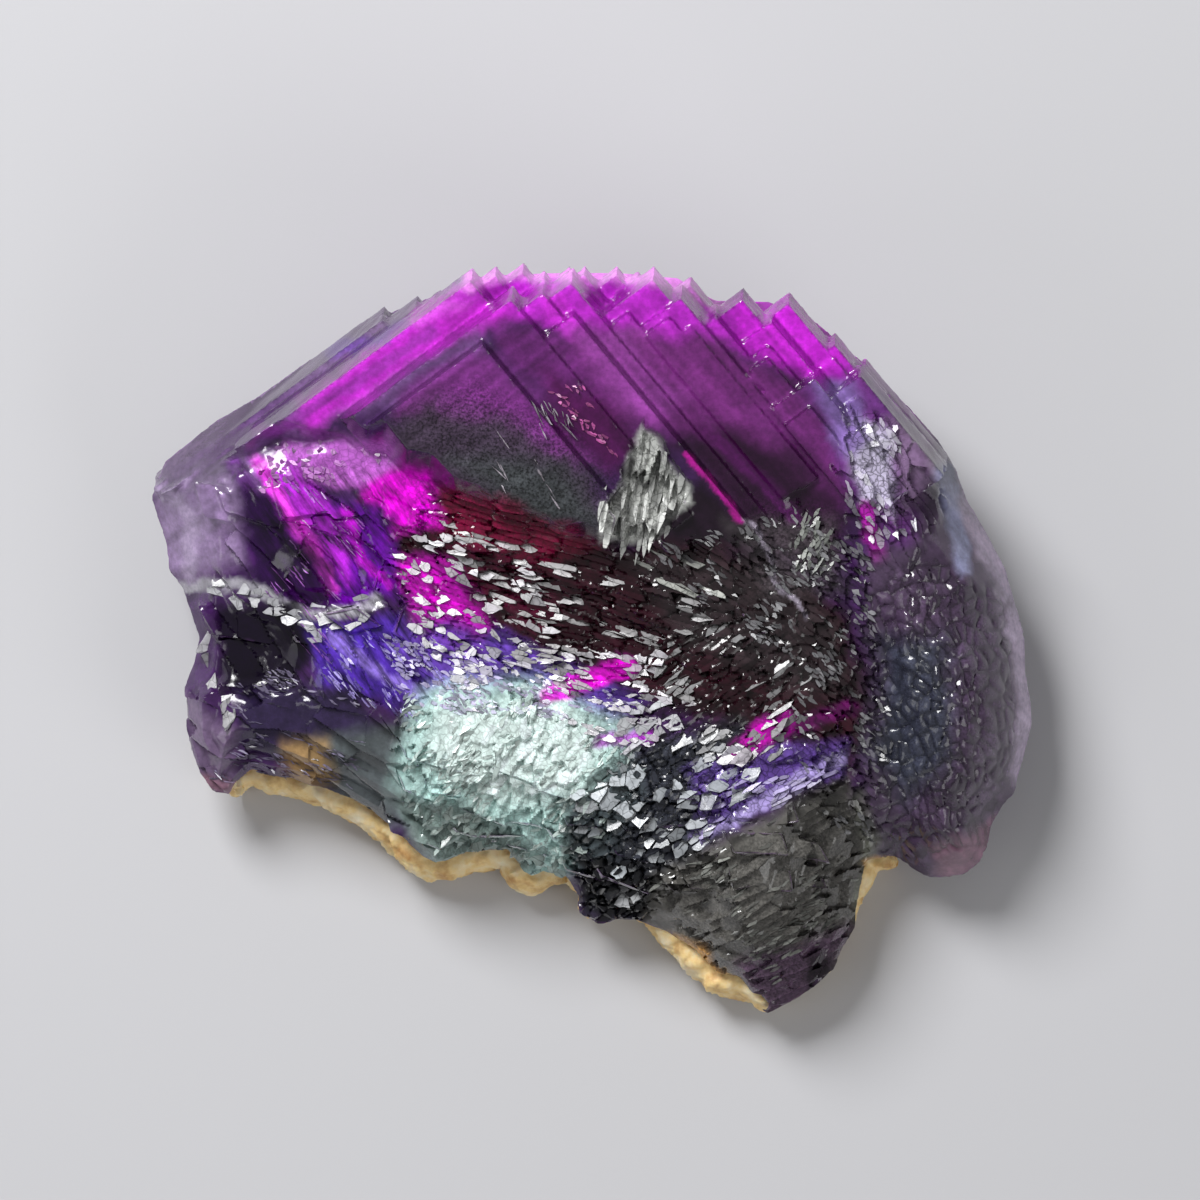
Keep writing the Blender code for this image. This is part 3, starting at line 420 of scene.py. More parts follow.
FLOOR_HALF = 1.5
FLOOR_SHADE = (0.50, 0.50, 0.52, 1.0)


def ramp(value, low, high):
    """0 below low, 1 above high, and a smooth slope between."""
    part = np.clip((value - low) / (high - low), 0.0, 1.0)
    return part * part * (3.0 - 2.0 * part)


def hashed(column, row, seed):
    """A steady random number from 0 to 1 for each cell of a grid."""
    mixed = column.astype(np.int64) * 73856093 ^ row.astype(np.int64) * 19349663 ^ (seed * 83492791 + 12345)
    mixed = (mixed ^ mixed >> 13) * 1274126177 & 0x7FFFFFFF
    mixed = (mixed ^ mixed >> 11) * 668265263 & 0x7FFFFFFF
    return (mixed ^ mixed >> 15 & 0xFFFF) % 100003 / 100003.0


def noise(x, y, size, seed):
    """Smooth noise from -1 to 1, whose lumps are about this size."""
    column, row = np.floor(x / size), np.floor(y / size)
    along, across = x / size - column, y / size - row
    along, across = along * along * (3 - 2 * along), across * across * (3 - 2 * across)
    low = hashed(column, row, seed) * (1 - along) + hashed(column + 1, row, seed) * along
    high = hashed(column, row + 1, seed) * (1 - along) + hashed(column + 1, row + 1, seed) * along
    return 2.0 * (low * (1 - across) + high * across) - 1.0


def layered(x, y, size, seed, layers=3):
    """Noise with finer and weaker noise laid over it."""
    total = sum(noise(x, y, size / 2 ** n, seed + n) / 2 ** n for n in range(layers))
    return total / sum(0.5 ** n for n in range(layers))


def paired(pixels):
    """Points from their U and V in turn."""
    return list(zip(pixels[::2], pixels[1::2]))


def inside_by(u, v, outline):
    """How many pixels each point lies inside an outline, negative outside it."""
    corners = paired(outline)
    nearest = np.full(u.shape, np.inf)
    inside = np.zeros(u.shape, bool)
    for (u0, v0), (u1, v1) in zip(corners, corners[1:] + corners[:1]):
        nearest = np.minimum(nearest, from_edge(u, v, u0, v0, u1, v1))
        if v0 != v1:
            inside ^= ((v0 > v) != (v1 > v)) & (u < (u1 - u0) * (v - v0) / (v1 - v0) + u0)
    return np.where(inside, nearest, -nearest)


def from_edge(u, v, u0, v0, u1, v1):
    """Distance of each point from a straight stretch."""
    run, fall = u1 - u0, v1 - v0
    part = np.clip(((u - u0) * run + (v - v0) * fall) / (run * run + fall * fall), 0.0, 1.0)
    return np.hypot(u - u0 - part * run, v - v0 - part * fall)


def from_line(u, v, line):
    """Distance of each point from a line of straight stretches."""
    points = paired(line)
    return np.minimum.reduce([from_edge(u, v, *a, *b) for a, b in zip(points, points[1:])])


def photo_place(x, y):
    """The photograph's pixel under each point."""
    return ORIGIN_U + x / PIXEL, ORIGIN_V - y / PIXEL


def wandered(u, v, reach, size, seed):
    """Pixels shifted by noise, so that zones get natural edges."""
    return u + reach * layered(u, v, size, seed), v + reach * layered(u, v, size, seed + 50)


def broken_pieces(name, x, y):
    """For each point, how much of a broken surface shows there (0 to 1), the piece that it is in, the piece's
    random numbers, the way from its middle in metres, and how near its crack it is (0 at the crack)."""
    region = REGIONS[name]
    length, width = region.length * MM, region.width * MM
    seed = sum(ord(letter) for letter in name)
    u, v = wandered(*photo_place(x, y), *REGION_WANDER, seed)
    shows = ramp(inside_by(u, v, region.outline), -0.4 * REGION_SOFT, REGION_SOFT)
    cos, sin = math.cos(math.radians(region.way)), math.sin(math.radians(region.way))
    bent_x = x + PIECE_BEND * width * noise(x, y, BEND_REACH * length, seed + 7)
    bent_y = y + PIECE_BEND * width * noise(x, y, BEND_REACH * length, seed + 8)
    along, across = (bent_x * cos + bent_y * sin) / length, (bent_y * cos - bent_x * sin) / width
    column, row = np.floor(along), np.floor(across)
    first = np.full(x.shape, np.inf)
    second = np.full(x.shape, np.inf)
    nearest = [np.zeros(x.shape) for _ in range(4)]
    for step_along in (-1, 0, 1):
        for step_across in (-1, 0, 1):
            there = (column + step_along, row + step_across)
            off_along = along - there[0] - 0.1 - 0.8 * hashed(*there, seed + 1)
            off_across = across - there[1] - 0.1 - 0.8 * hashed(*there, seed + 2)
            distance = np.hypot(off_along, off_across)
            closer = distance < first
            second = np.where(closer, first, np.minimum(second, distance))
            first = np.where(closer, distance, first)
            for n, value in enumerate((*there, off_along * length, off_across * width)):
                nearest[n] = np.where(closer, value, nearest[n])
    column, row, off_along, off_across = nearest
    chances = [hashed(column, row, seed + 10 + n) for n in range(5)]
    key = (column.astype(np.int64) + 4096) * 8192 + row.astype(np.int64) + 4096
    return {
        "shows": shows,
        "key": key,
        "chances": chances,
        "off_x": off_along * cos - off_across * sin,
        "off_y": off_along * sin + off_across * cos,
        "crack": second - first,
    }


def lay_pieces(name, x, y, z, front):
    """New heights, with part of the front turned into flat broken pieces with cracks between them."""
    region = REGIONS[name]
    pieces = broken_pieces(name, x, y)
    _, member = np.unique(pieces["key"], return_inverse=True)
    weight = np.bincount(member, front + 1e-6)
    middle = (np.bincount(member, z * (front + 1e-6)) / weight)[member]
    chances = pieces["chances"]
    slope_x = PIECE_SLOPE * FACE_SLOPE[0] + region.tilt * (2 * chances[1] - 1)
    slope_y = PIECE_SLOPE * FACE_SLOPE[1] + region.tilt * (2 * chances[2] - 1)
    flat = middle + region.step * MM * (chances[3] - MOST_SUNK)
    flat = flat + slope_x * pieces["off_x"] + slope_y * pieces["off_y"]
    crack = region.depth * MM * (1.0 - ramp(pieces["crack"], 0.0, region.crack))
    return z + pieces["shows"] * front * (np.clip(flat - z, -MOST_LIFT, MOST_LIFT) - crack)


def knobbed(x, y, z, front):
    """New heights, with the right lobe's soft knobs, each a low dome."""
    pieces = broken_pieces("lobe", x, y)
    dome = np.sqrt(np.clip(pieces["crack"], 0.0, KNOB_ROUND) / KNOB_ROUND) - 1.0
    return z + pieces["shows"] * front * KNOB_DEPTH * dome * (0.6 + 0.8 * pieces["chances"][1])


def any_broken(x, y):
    """How far each point is covered by a broken surface."""
    u, v = photo_place(x, y)
    covers = [ramp(inside_by(u, v, region.outline), *BROKEN_FADE) for region in REGIONS.values()]
    return np.maximum.reduce(covers)


def growth_lines(x, y, kinds, seeds):
    """Long lines along the plates' left edges on the left, and along their right ones on the right: for each
    half, its share of each point and its lines."""
    u, _ = photo_place(x, y)
    on_right = ramp(u + TURN_WANDER * noise(x, y, TURN_LUMP, 91), *TURN_AT)
    halves = []
    for share, way, seed in ((1 - on_right, LEFT_EDGE, seeds[0]), (on_right, RIGHT_EDGE, seeds[1])):
        along = x * math.cos(way) + y * math.sin(way)
        across = y * math.cos(way) - x * math.sin(way)
        lines = sum(strength * noise(across, along / drawn, width, seed + n)
                    for n, (width, drawn, strength) in enumerate(kinds))
        halves.append((share, lines))
    return halves


def growth_relief(x, y):
    """Heights of the fine growth steps on the faces."""
    steps = sum(share * (STEP_HEIGHT * np.round(lines * STEP_LEVELS) / STEP_LEVELS + STEP_SLOPE * lines)
                for share, lines in growth_lines(x, y, GROWTH_STEPS, (301, 401)))
    return steps - FACE_SUNK


def growth_stripes(x, y):
    """How much lighter or darker the long growth stripes make the unbroken faces."""
    total = sum(share * lines for share, lines in growth_lines(x, y, GROWTH_STRIPES, (501, 601)))
    return 1.0 + STRIPE_CONTRAST * total * (1.0 - any_broken(x, y))


def placed(name, data):
    """A new object of the scene."""
    obj = bpy.data.objects.new(name, data)
    bpy.context.scene.collection.objects.link(obj)
    return obj


def mesh_arrays(mesh):
    """A mesh's vertex places and normals."""
    places = np.zeros(len(mesh.vertices) * 3)
    normals = np.zeros(len(mesh.vertices) * 3)
    mesh.vertices.foreach_get("co", places)
    mesh.vertices.foreach_get("normal", normals)
    return places.reshape(-1, 3), normals.reshape(-1, 3)


def with_modifier(obj, kind, **settings):
    """Applies one modifier to a piece."""
    modifier = obj.modifiers.new(kind.lower(), kind)
    for name, value in settings.items():
        setattr(modifier, name, value)
    shaped = bpy.data.meshes.new_from_object(obj.evaluated_get(bpy.context.evaluated_depsgraph_get()))
    obj.modifiers.clear()
    old = obj.data
    obj.data = shaped
    bpy.data.meshes.remove(old)


def stand_in(node_name, piece_name):
    """A copy of a CAD node that its detailed piece is made from."""
    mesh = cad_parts[node_name].data.copy()
    mesh.materials.clear()
    obj = bpy.data.objects.new(piece_name, mesh)
    bpy.context.scene.collection.objects.link(obj)
    return obj


def kept_in_box(places):
    """Places pulled back inside the CAD model's box."""
    return np.clip(places, np.array(CAD_BOX[0]), np.array(CAD_BOX[1]))


def shaped_back(places, normals, front):
    """The unseen side's broken faces: blunt hollows and ridges."""
    x, y, z = places.T
    dents = layered(x + 2 * z, y - z, DENT_SIZES[0], 77)
    dents = dents + 0.5 * np.abs(layered(x - z, y + z, DENT_SIZES[1], 78))
    amount = (1.0 - front) * ramp(z, 0.2 * MM, 1.5 * MM)
    return places + normals * (amount * DENT_DEPTH * (dents - DENT_SUNK))[:, None]


def make_crystal():
    """The crystal: the CAD solid with its broken pieces, growth steps and knobs."""
    obj = stand_in("fluorite", "fluorite_crystal")
    with_modifier(obj, "REMESH", mode="VOXEL", voxel_size=GRID)
    with_modifier(obj, "SMOOTH", factor=0.5, iterations=EDGE_WEAR)
    places, normals = mesh_arrays(obj.data)
    front = ramp(normals[:, 2], *FRONT_FROM)
    places = shaped_back(places, normals, front)
    x, y, z = places.T.copy()
    broken = any_broken(x, y)
    z = z + front * (1.0 - broken) * growth_relief(x, y)
    for name in REGIONS:
        z = knobbed(x, y, z, front) if name == "lobe" else lay_pieces(name, x, y, z, front)
    z = z + front * GRAIN_HEIGHT * layered(x, y, GRAIN_SIZE, 5)
    places = kept_in_box(np.stack([x, y, z], axis=1))
    obj.data.vertices.foreach_set("co", places.ravel())
    obj.data.update()
    thin_out(obj, front)
    return obj


def thin_out(obj, front):
    """Thins the mesh, mostly on the side that the camera doesn't see."""
    triangles = sum(len(face.vertices) - 2 for face in obj.data.polygons)
    if triangles <= CRYSTAL_TRIANGLES:
        return
    group = obj.vertex_groups.new(name="thin")
    for level in range(THIN_LEVELS + 1):
        chosen = np.nonzero(np.round((1.0 - front) * THIN_LEVELS) == level)[0]
        group.add(chosen.tolist(), max(BACK_SHARE, level / THIN_LEVELS), "REPLACE")
    with_modifier(obj, "DECIMATE", ratio=CRYSTAL_TRIANGLES / triangles, vertex_group="thin",
                  vertex_group_factor=1.0)


def patch_tints(x, y):
    """The colour and clearness that the patches give each point."""
    u, v = photo_place(x, y)
    for wander in PATCH_WANDERS:
        u, v = wandered(u, v, *wander)
    tint = np.tile(srgb(*BASE_TINT), (len(x), 1))
    clear = np.full(len(x), BASE_CLEAR)
    for shape, points, soft, colour, clearness, strength in PATCHES:
        if shape == AREA:
            cover = ramp(inside_by(u, v, points), -soft, soft)
        else:
            cover = 1.0 - ramp(from_line(u, v, points), LINE_FADE[0] * soft, LINE_FADE[1] * soft)
        cover = cover * strength
        tint += cover[:, None] * (srgb(*colour) - tint)
        clear += cover * (clearness - clear)
    return tint, clear


def paint(mesh):
    """Colours each corner of the mesh, with painted shade in the cracks and on the plates' side walls, and
    notes how clear and how rough it is there.
    """
    places, normals = mesh_arrays(mesh)
    corner_vertex = np.zeros(len(mesh.loops), np.int64)
    mesh.loops.foreach_get("vertex_index", corner_vertex)
    middles = np.zeros(len(mesh.polygons) * 3)
    mesh.polygons.foreach_get("center", middles)
    sizes = np.zeros(len(mesh.polygons), np.int64)
    mesh.polygons.foreach_get("loop_total", sizes)
    middles = np.repeat(middles.reshape(-1, 3), sizes, axis=0)
    tint, clear = patch_tints(places[:, 0], places[:, 1])
    tint, clear = tint[corner_vertex], clear[corner_vertex]
    corners = places[corner_vertex] * CORNER_SHARE + middles * (1.0 - CORNER_SHARE)
    x, y, _ = corners.T
    facing = ramp(normals[:, 2], *FACING_FROM)[corner_vertex]
    rough = np.full(len(x), FACE_ROUGHNESS)
    for name, region in REGIONS.items():
        pieces = broken_pieces(name, x, y)
        shows = pieces["shows"] * facing
        # Painted shade that darkens each piece towards its crack; the pieces' own tone also differs at random
        edge = 1.0 - ramp(pieces["crack"], 0.0, region.crack)
        shade = 1.0 + region.contrast * PIECE_CONTRAST * (pieces["chances"][4] - 0.5)
        shade = shade * (1.0 - region.contrast * edge)
        tint = tint * (1.0 + shows * (shade - 1.0))[:, None]
        rough = rough + shows * (PIECE_ROUGHNESS[0] + PIECE_ROUGHNESS[1] * pieces["chances"][3])
    tint = tint * (1.0 + facing * (growth_stripes(x, y) - 1.0))[:, None]
    under = ramp(-normals[:, 2], -0.15, 0.5)[corner_vertex]
    tint = tint + (UNDER_COVER * under)[:, None] * (srgb(*UNDER_TINT) - tint)
    # Painted shade on the plates' side walls
    wall = wall_shade_share(places, normals)[corner_vertex]
    tint = tint + (WALL_COVER * wall)[:, None] * (tint * np.array(WALL_SHADE) - tint)
    marks = [marked(x, y, places_of) for places_of in (SPECKLED, VEINED, STREAKED)]
    for name, values in (("tint", tint), ("finish", np.stack([clear, rough, facing], axis=1)),
                         ("marks", np.stack(marks, axis=1))):
        layer = mesh.color_attributes.new(name, "FLOAT_COLOR", "CORNER")
        layer.data.foreach_set("color", np.column_stack([np.clip(values, 0, 1), np.ones(len(x))]).ravel())


def wall_shade_share(places, normals):
    """How far each vertex lies on a plate's narrow side wall, which is given painted shade to look darker
    than its face.
    """
    _, v = photo_place(places[:, 0], places[:, 1])
    leans_up = ramp(normals[:, 1], 0.25, 0.6) + ramp(np.abs(normals[:, 0]), 0.45, 0.75)
    among_plates = ramp(v, *WALL_FROM) * (1 - ramp(v, *WALL_TO))
    return np.clip(leans_up, 0, 1) * ramp(normals[:, 2], 0.0, 0.2) * among_plates


def marked(x, y, places_of):
    """How strongly one kind of fine mark shows at each point."""
    u, v = wandered(*photo_place(x, y), *MARK_WANDER)
    return np.maximum.reduce([ramp(inside_by(u, v, outline), -soft, soft) * strength
                              for outline, soft, strength in places_of])


def cut_off(outline, middle, way):
    """A convex outline without what lies beyond a line through the middle point, square to the way."""
    kept = []
    for (x0, y0), (x1, y1) in zip(outline, outline[1:] + outline[:1]):
        beyond0 = (x0 - middle[0]) * way[0] + (y0 - middle[1]) * way[1]
        beyond1 = (x1 - middle[0]) * way[0] + (y1 - middle[1]) * way[1]
        if beyond0 <= 0:
            kept.append((x0, y0))
        if beyond0 * beyond1 < 0:
            part = beyond0 / (beyond0 - beyond1)
            kept.append((x0 + part * (x1 - x0), y0 + part * (y1 - y0)))
    return kept


def shard_outline(here, sites):
    """The ground nearer to this site than to its neighbours, around the site and in units of a shard."""
    x, y = sites[here]
    outline = [(-SHARD_REACH, -SHARD_REACH), (SHARD_REACH, -SHARD_REACH), (SHARD_REACH, SHARD_REACH),
               (-SHARD_REACH, SHARD_REACH)]
    for column in range(here[0] - 2, here[0] + 3):
        for row in range(here[1] - 2, here[1] + 3):
            if (column, row) != here and (column, row) in sites:
                way = (sites[column, row][0] - x, sites[column, row][1] - y)
                outline = cut_off(outline, (way[0] / 2, way[1] / 2), way)
    return outline


def flake_shapes(name, rng):
    """One kind's close-packed uneven shards, in clusters: each one's middle and the outline around it."""
    kind = FLAKES[name]
    corners = np.array(paired(kind.outline), float)
    middle_u, middle_v = (corners.min(axis=0) + corners.max(axis=0)) / 2
    middle = ((middle_u - ORIGIN_U) * PIXEL, (ORIGIN_V - middle_v) * PIXEL)
    reach = np.hypot(*(corners.max(axis=0) - corners.min(axis=0))) / 2 * PIXEL
    length, width = 0.5 * (kind.short + kind.long) * MM, 0.5 * (kind.narrow + kind.wide) * MM
    sites = {}
    for column in range(-int(reach / length) - 2, int(reach / length) + 3):
        for row in range(-int(reach / width) - 2, int(reach / width) + 3):
            off = rng.uniform(-SITE_PLAY, SITE_PLAY, 2)
            if rng.uniform() < SITE_SHARE:
                sites[column, row] = (column + off[0] + 0.5 * (row % 2), row + off[1])
    turn = math.radians(kind.way)
    keys = list(sites)
    along, across = (np.array([sites[key] for key in keys]) * (length, width)).T
    x = middle[0] + along * math.cos(turn) - across * math.sin(turn)
    y = middle[1] + along * math.sin(turn) + across * math.cos(turn)
    within = inside_by(*wandered(*photo_place(x, y), *FLAKE_WANDER), kind.outline)
    liking = noise(along / 3, across, CLUSTER_ROW, 35) + 0.8 * layered(x, y, CLUSTER_PATCH, 36)
    liking = liking + 0.5 * rng.uniform(-1, 1, x.shape) - 0.8 * ramp(-within, -6.0, 6.0)
    taken = (within > 0) & (liking > np.quantile(liking[within > 0], 1.0 - kind.share))
    shapes = []
    for n in np.nonzero(taken)[0]:
        cell = np.array(shard_outline(keys[n], sites)) * (length, width) * rng.uniform(*SHARD_FILL)
        ragged = []
        for start, end in zip(cell, np.roll(cell, -1, axis=0)):
            ragged.append(start * rng.uniform(*CORNER_PLAY))
            if np.hypot(*(end - start)) > RAGGED_FROM:
                ragged.append(start + (end - start) * rng.uniform(0.3, 0.7) + RAGGED * rng.normal(0, 1, 2))
        own = turn + math.radians(kind.stray) * rng.uniform(-1, 1) * 0.5
        run, rise = np.array(ragged).T
        shapes.append((x[n], y[n], run * math.cos(own) - rise * math.sin(own),
                       run * math.sin(own) + rise * math.cos(own)))
    return shapes


def make_flakes(crystal):
    """The pale cleavage flakes: thin plates set in the broken surfaces, some tilted towards the key light.
    Their pale colour is partly a painted glint.
    """
    surface = BVHTree.FromPolygons([v.co for v in crystal.data.vertices],
                                   [p.vertices for p in crystal.data.polygons])
    rng = np.random.default_rng(FLAKE_SEED)
    verts, faces, tints = [], [], []
    above = CAD_BOX[1][2] + MM
    for name, kind in FLAKES.items():
        shapes = flake_shapes(name, rng)
        below, _ = patch_tints(*np.array([shape[:2] for shape in shapes]).T)
        for (x, y, run, rise), ground in zip(shapes, below):
            hit, normal, _, _ = surface.ray_cast(Vector((x, y, above)), Vector((0, 0, -1)))
            if hit is None or normal.z < STEEPEST:
                continue
            turned = rng.uniform(0.5, 1.0) if rng.uniform() < kind.shining else rng.uniform(-1.0, 0.4)
            slope_x = GLINT_SLOPE[0] * turned + GLINT_PLAY * rng.normal()
            slope_y = GLINT_SLOPE[1] * turned + GLINT_PLAY * rng.normal()
            top = hit.z + FLAKE_PROUD + np.clip(slope_x * run + slope_y * rise, -MOST_RISE, MOST_RISE)
            first, count = len(verts), len(run)
            verts += list(zip(x + run, y + rise, top))
            verts += list(zip(x + FLAKE_FLARE * run, y + FLAKE_FLARE * rise, top - FLAKE_THICK))
            faces.append(range(first, first + count))
            faces.append(range(first + 2 * count - 1, first + count - 1, -1))
            for i in range(count):
                j = (i + 1) % count
                faces.append([first + i, first + count + i, first + count + j, first + j])
            # A flake's pale colour, partly whitish cleavage and partly a painted glint, mixed with the colour
            # below it
            share = min(1.0, kind.mixed * rng.uniform(0, 2))
            tint = (srgb(*kind.colour) * (1 - share) + ground * share) * rng.uniform(*SHARD_BRIGHT)
            tints += [tint] * (2 * count)
    mesh = bpy.data.meshes.new("cleavage_flakes")
    mesh.from_pydata([tuple(place) for place in kept_in_box(np.array(verts))], [], faces)
    layer = mesh.color_attributes.new("tint", "FLOAT_COLOR", "POINT")
    layer.data.foreach_set("color", np.column_stack([np.array(tints), np.ones(len(tints))]).ravel())
    obj = placed("cleavage_flakes", mesh)
    mesh.materials.append(flake_material())
    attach(obj, "root")
    return obj


def node(tree, kind, **inputs):
    """Adds a shader node, and sets its inputs, by name or number, to values or other nodes' outputs."""
    made = tree.nodes.new("ShaderNode" + kind)
    for name, value in inputs.items():
        socket = made.inputs[int(name[1:])] if name[0] == "_" else made.inputs[name.replace("_", " ")]
        if isinstance(value, bpy.types.NodeSocket):
            tree.links.new(value, socket)
        else:
            socket.default_value = value
    return made


def fresh_material(name):
    """A material with nothing but its output."""
    material = bpy.data.materials.new(name)
    material.use_nodes = True
    material.node_tree.nodes.clear()
    return material, material.node_tree


def noise_value(tree, scale, detail, rough, seed):
    """Noise over the object's own coordinates, 0 to 1. scale is lumps per millimetre."""
    place = node(tree, "TexCoord").outputs["Object"]
    moved = node(tree, "VectorMath", _0=place, _1=(seed * 0.01, 0.0, 0.0))
    lumps = node(tree, "TexNoise", Vector=moved.outputs[0], Scale=scale / MM, Detail=detail, Roughness=rough)
    return lumps.outputs[0]


def painted(tree, layer):
    """The colours that are painted on the mesh under this name."""
    colours = node(tree, "VertexColor")
    colours.layer_name = layer
    return colours.outputs[0]


def shaded(tree, colour, shade):
    """A colour made lighter or darker by a shader value."""
    scaled = node(tree, "VectorMath", _0=colour)
    scaled.operation = "SCALE"
    tree.links.new(shade, scaled.inputs["Scale"])
    return scaled.outputs[0]


def number(tree, operation, first, second):
    """Arithmetic on two shader values."""
    made = node(tree, "Math", _0=first, _1=second)
    made.operation = operation
    return made.outputs[0]


def mapped(tree, value, low, high, to_low, to_high):
    """A shader value spread from one range over another."""
    return node(tree, "MapRange", _0=value, _1=low, _2=high, _3=to_low, _4=to_high).outputs[0]


def eased(tree, amount, value):
    """1 where the amount is 0, and the value where it is 1."""
    mix = node(tree, "Mix", _0=amount, _2=1.0, _3=value)
    return mix.outputs[0]


def vein_distance(tree, scale):
    """Distance from the nearest crack of a fine crackle. scale is cells per millimetre."""
    place = node(tree, "TexCoord").outputs["Object"]
    wander = node(tree, "TexNoise", Vector=place, Scale=VEIN_LUMPS / MM).outputs[1]
    bent = node(tree, "VectorMath", _0=wander, _1=(VEIN_WANDER, VEIN_WANDER, VEIN_WANDER), _2=place)
    bent.operation = "MULTIPLY_ADD"
    cells = node(tree, "TexVoronoi", Vector=bent.outputs[0], Scale=scale / MM)
    cells.feature = "DISTANCE_TO_EDGE"
    return cells.outputs["Distance"]


def streak_value(tree):
    """Noise drawn out along the hollows' streaks, 0 to 1."""
    place = node(tree, "TexCoord").outputs["Object"]
    turned = node(tree, "Mapping", Vector=place)
    turned.vector_type = "TEXTURE"
    turned.inputs["Rotation"].default_value = (0.0, 0.0, math.radians(STREAK_WAY))
    turned.inputs["Scale"].default_value = (STREAK_DRAW, 1.0, 2.0)
    streaks = node(tree, "TexNoise", Vector=turned.outputs[0], Scale=2.6 / MM, Detail=4.0, Roughness=0.6)
    return streaks.outputs[0]


def crystal_material():
    """Glassy fluorite: zoned colour with fine veins and specks, clear in places, with absorption inside."""
    material, tree = fresh_material("purple_fluorite")
    clear, rough, _ = node(tree, "SeparateColor", Color=painted(tree, "finish")).outputs
    specks, veins, streaks = node(tree, "SeparateColor", Color=painted(tree, "marks")).outputs
    cloud = mapped(tree, noise_value(tree, 0.7, 4.0, 0.6, 3), 0.3, 0.7, 0.75, 1.22)
    mottle = mapped(tree, noise_value(tree, 3.0, 4.0, 0.65, 13), 0.35, 0.65, 0.84, 1.16)
    cloud = number(tree, "MULTIPLY", cloud, mottle)
    grain = mapped(tree, noise_value(tree, 6.0, 3.0, 0.7, 9), 0.38, 0.62, 0.35, 1.75)
    crack = mapped(tree, vein_distance(tree, 2.6), 0.0, 0.12, 0.2, 1.0)
    streak = mapped(tree, streak_value(tree), 0.35, 0.65, 0.3, 1.45)
    shade = number(tree, "MULTIPLY", cloud, eased(tree, specks, grain))
    shade = number(tree, "MULTIPLY", shade, eased(tree, veins, crack))
    shade = number(tree, "MULTIPLY", shade, eased(tree, streaks, streak))
    colour = shaded(tree, painted(tree, "tint"), shade)
    smudge = mapped(tree, noise_value(tree, 1.6, 3.0, 0.6, 17), 0.3, 0.7, -0.05, 0.08)
    roughness = number(tree, "ADD", rough, smudge)
    fine = node(tree, "Bump", Strength=0.25, Distance=0.03 * MM, Height=noise_value(tree, 5.0, 4.0, 0.65, 23))
    shader = node(tree, "BsdfPrincipled", Base_Color=colour, Roughness=roughness, Transmission_Weight=clear,
                  Normal=fine.outputs[0], IOR=REFRACTION, Coat_Weight=CRYSTAL_COAT[0],
                  Coat_Roughness=CRYSTAL_COAT[1])
    inside = node(tree, "VolumeAbsorption", Color=ABSORPTION[0], Density=ABSORPTION[1])
    out = node(tree, "OutputMaterial", Surface=shader.outputs[0], Volume=inside.outputs[0])
    out.is_active_output = True
    return material


def flake_material():
    """Silvery cleavage flakes, glossy and nearly opaque, whose pale colour is partly a painted glint."""
    material, tree = fresh_material("cleavage_flakes")
    cloud = mapped(tree, noise_value(tree, 2.2, 3.0, 0.6, 31), 0.3, 0.7, 0.7, 1.12)
    cloud = number(tree, "MULTIPLY", cloud, mapped(tree, vein_distance(tree, 1.5), 0.0, 0.06, 0.4, 1.0))
    colour = shaded(tree, painted(tree, "tint"), cloud)
    rough = mapped(tree, noise_value(tree, 3.0, 2.0, 0.5, 37), 0.3, 0.7, 0.22, 0.45)
    fine = node(tree, "Bump", Strength=0.5, Distance=0.03 * MM, Height=noise_value(tree, 4.0, 3.0, 0.6, 41))
    shader = node(tree, "BsdfPrincipled", Base_Color=colour, Roughness=rough, Normal=fine.outputs[0],
                  IOR=REFRACTION, Coat_Weight=FLAKE_COAT[0], Coat_Roughness=FLAKE_COAT[1])
    node(tree, "OutputMaterial", Surface=shader.outputs[0])
    return material


def make_crust():
    """The ochre rim: the CAD rind grown knobbly, and grown on to the crystal beside it."""
    obj = stand_in("matrix_crust", "matrix_rim")
    with_modifier(obj, "REMESH", mode="VOXEL", voxel_size=CRUST_GRID * 1.0)
    places, normals = mesh_arrays(obj.data)
    x, y, z = places.T
    lumps = np.abs(layered(x + 0.6 * z, y - 0.4 * z, CRUST_LUMPS[0], 61))
    lumps = lumps + 0.4 * np.abs(layered(x, y + z, CRUST_LUMPS[1], 64))
    places = places + normals * (CRUST_SWELL * (CRUST_LEVEL - lumps))[:, None]
    places[:, 2] = np.maximum(places[:, 2], 0.0)
    obj.data.vertices.foreach_set("co", kept_in_box(places).ravel())
    obj.data.update()
    return obj


def crust_material():
    """Iron-stained rim: cream, honey and rust over a fine crumbly grain."""
    material, tree = fresh_material("ochre_matrix")
    blotch = noise_value(tree, 0.55, 4.0, 0.6, 5)
    stops = node(tree, "ValToRGB", Fac=blotch)
    stops.color_ramp.elements.new(CRUST_STOPS[1][0])
    for stop, (position, colour) in zip(stops.color_ramp.elements, CRUST_STOPS):
        stop.position = position
        stop.color = (*srgb(*colour), 1.0)
    grain = noise_value(tree, 5.5, 4.0, 0.7, 11)
    bump = node(tree, "Bump", Strength=0.6, Distance=0.08 * MM, Height=grain)
    rough = mapped(tree, grain, 0.3, 0.7, 0.35, 0.7)
    shader = node(tree, "BsdfPrincipled", Base_Color=stops.outputs[0], Roughness=rough,
                  Normal=bump.outputs[0], Subsurface_Weight=0.2, Subsurface_Radius=(0.9, 0.6, 0.3),
                  Subsurface_Scale=0.5 * MM)
    node(tree, "OutputMaterial", Surface=shader.outputs[0])
    return material


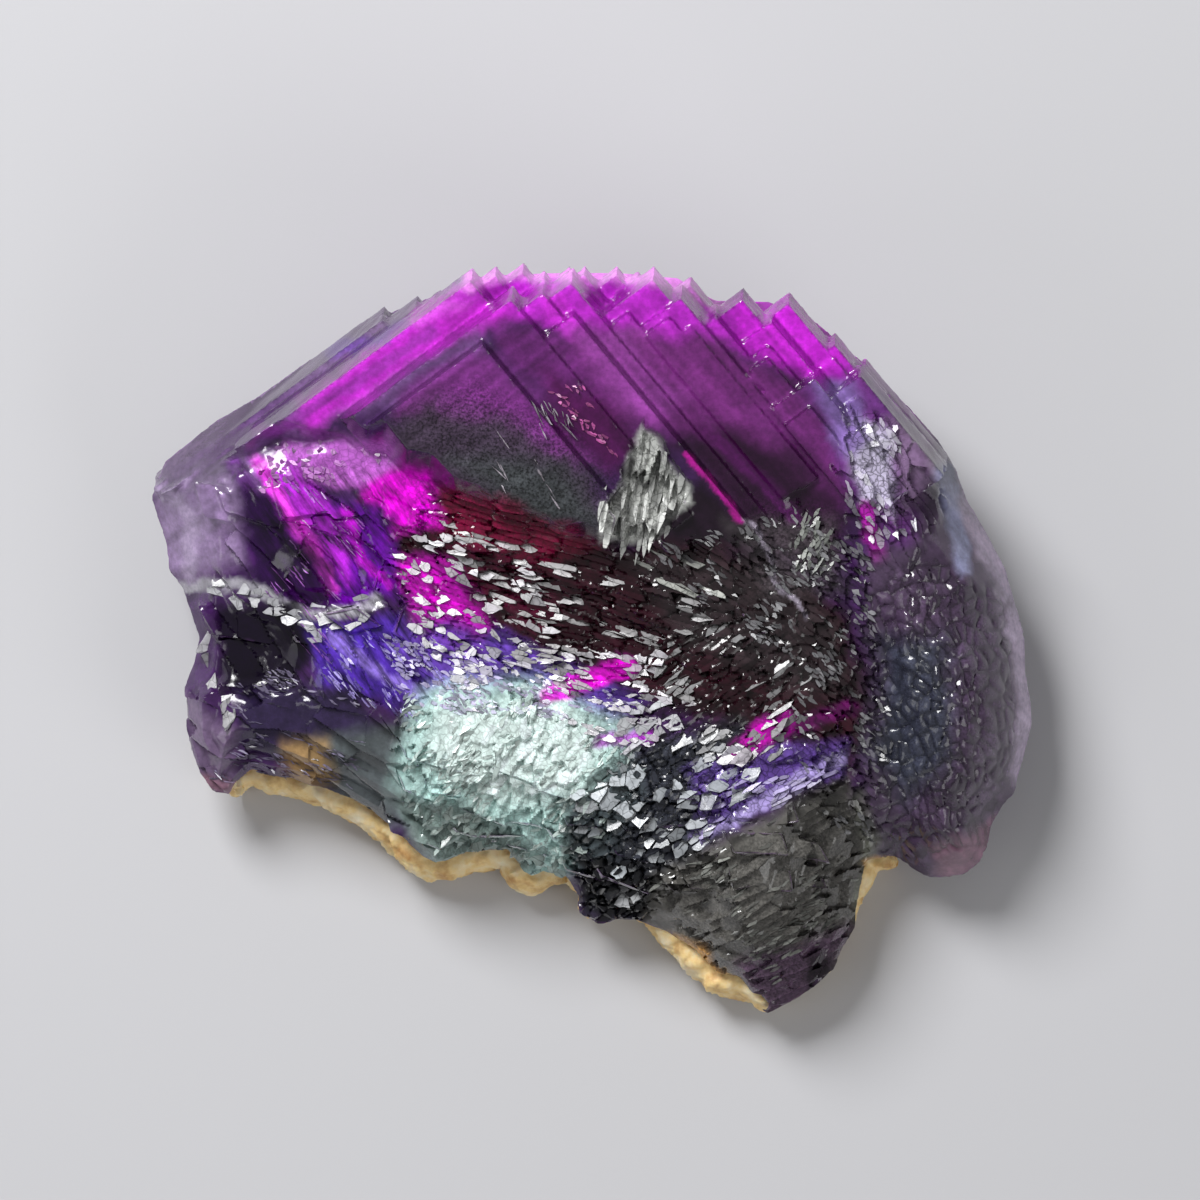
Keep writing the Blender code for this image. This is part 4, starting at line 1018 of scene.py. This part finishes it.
def finished(obj, node_name, material, sharp_degrees):
    """Puts a piece in the place of its CAD node, with its finish."""
    obj.data.materials.append(material)
    obj.data.shade_smooth()
    obj.data.set_sharp_from_angle(angle=math.radians(sharp_degrees))
    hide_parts(node_name)
    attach(obj, "root")


def make_floor():
    """A plain pale floor under the specimen."""
    mesh = bpy.data.meshes.new("floor")
    corners = [(FLOOR_HALF * x, FLOOR_HALF * y, 0) for x, y in ((-1, -1), (1, -1), (1, 1), (-1, 1))]
    mesh.from_pydata(corners, [], [(0, 1, 2, 3)])
    material, tree = fresh_material("floor")
    shader = node(tree, "BsdfPrincipled", Base_Color=FLOOR_SHADE, Roughness=0.8)
    node(tree, "OutputMaterial", Surface=shader.outputs[0])
    mesh.materials.append(material)
    placed("floor", mesh)


def add_light(name, way, distance, width, radiance):
    """A round soft light that looks this bright from the specimen."""
    data = bpy.data.lights.new(name, "AREA")
    data.shape = "DISK"
    data.size = width
    data.energy = radiance * math.pi * math.pi * (width / 2) ** 2
    lamp = placed(name, data)
    direction = np.array(way) / np.linalg.norm(way)
    lamp.location = direction * distance
    lamp.rotation_euler = lamp.location.to_track_quat("Z", "Y").to_euler()


def light_and_camera():
    """Plain soft studio light, and the photograph's view straight down on the specimen."""
    scene = bpy.context.scene
    world = bpy.data.worlds.new("studio")
    world.use_nodes = True
    world.node_tree.nodes["Background"].inputs[0].default_value = (WORLD_LIGHT, WORLD_LIGHT, WORLD_LIGHT, 1.0)
    scene.world = world
    for name, light in (("key", KEY), ("fill", FILL), ("side", SIDE)):
        add_light(name, *light)
    data = bpy.data.cameras.new("photo_view")
    data.sensor_width = SENSOR
    data.lens = SENSOR * (CAMERA_DISTANCE - FOCUS_HEIGHT) / (PHOTO_SIZE * PIXEL)
    camera = placed("photo_view", data)
    middle = PHOTO_SIZE / 2
    camera.location = ((middle - ORIGIN_U) * PIXEL, (ORIGIN_V - middle) * PIXEL, CAMERA_DISTANCE)
    scene.camera = camera
    scene.view_settings.view_transform = "Standard"


crystal = make_crystal()
paint(crystal.data)
finished(crystal, "fluorite", crystal_material(), CRYSTAL_SHARP)
make_flakes(crystal)
crust = make_crust()
finished(crust, "matrix_crust", crust_material(), CRUST_SHARP)
make_floor()
light_and_camera()
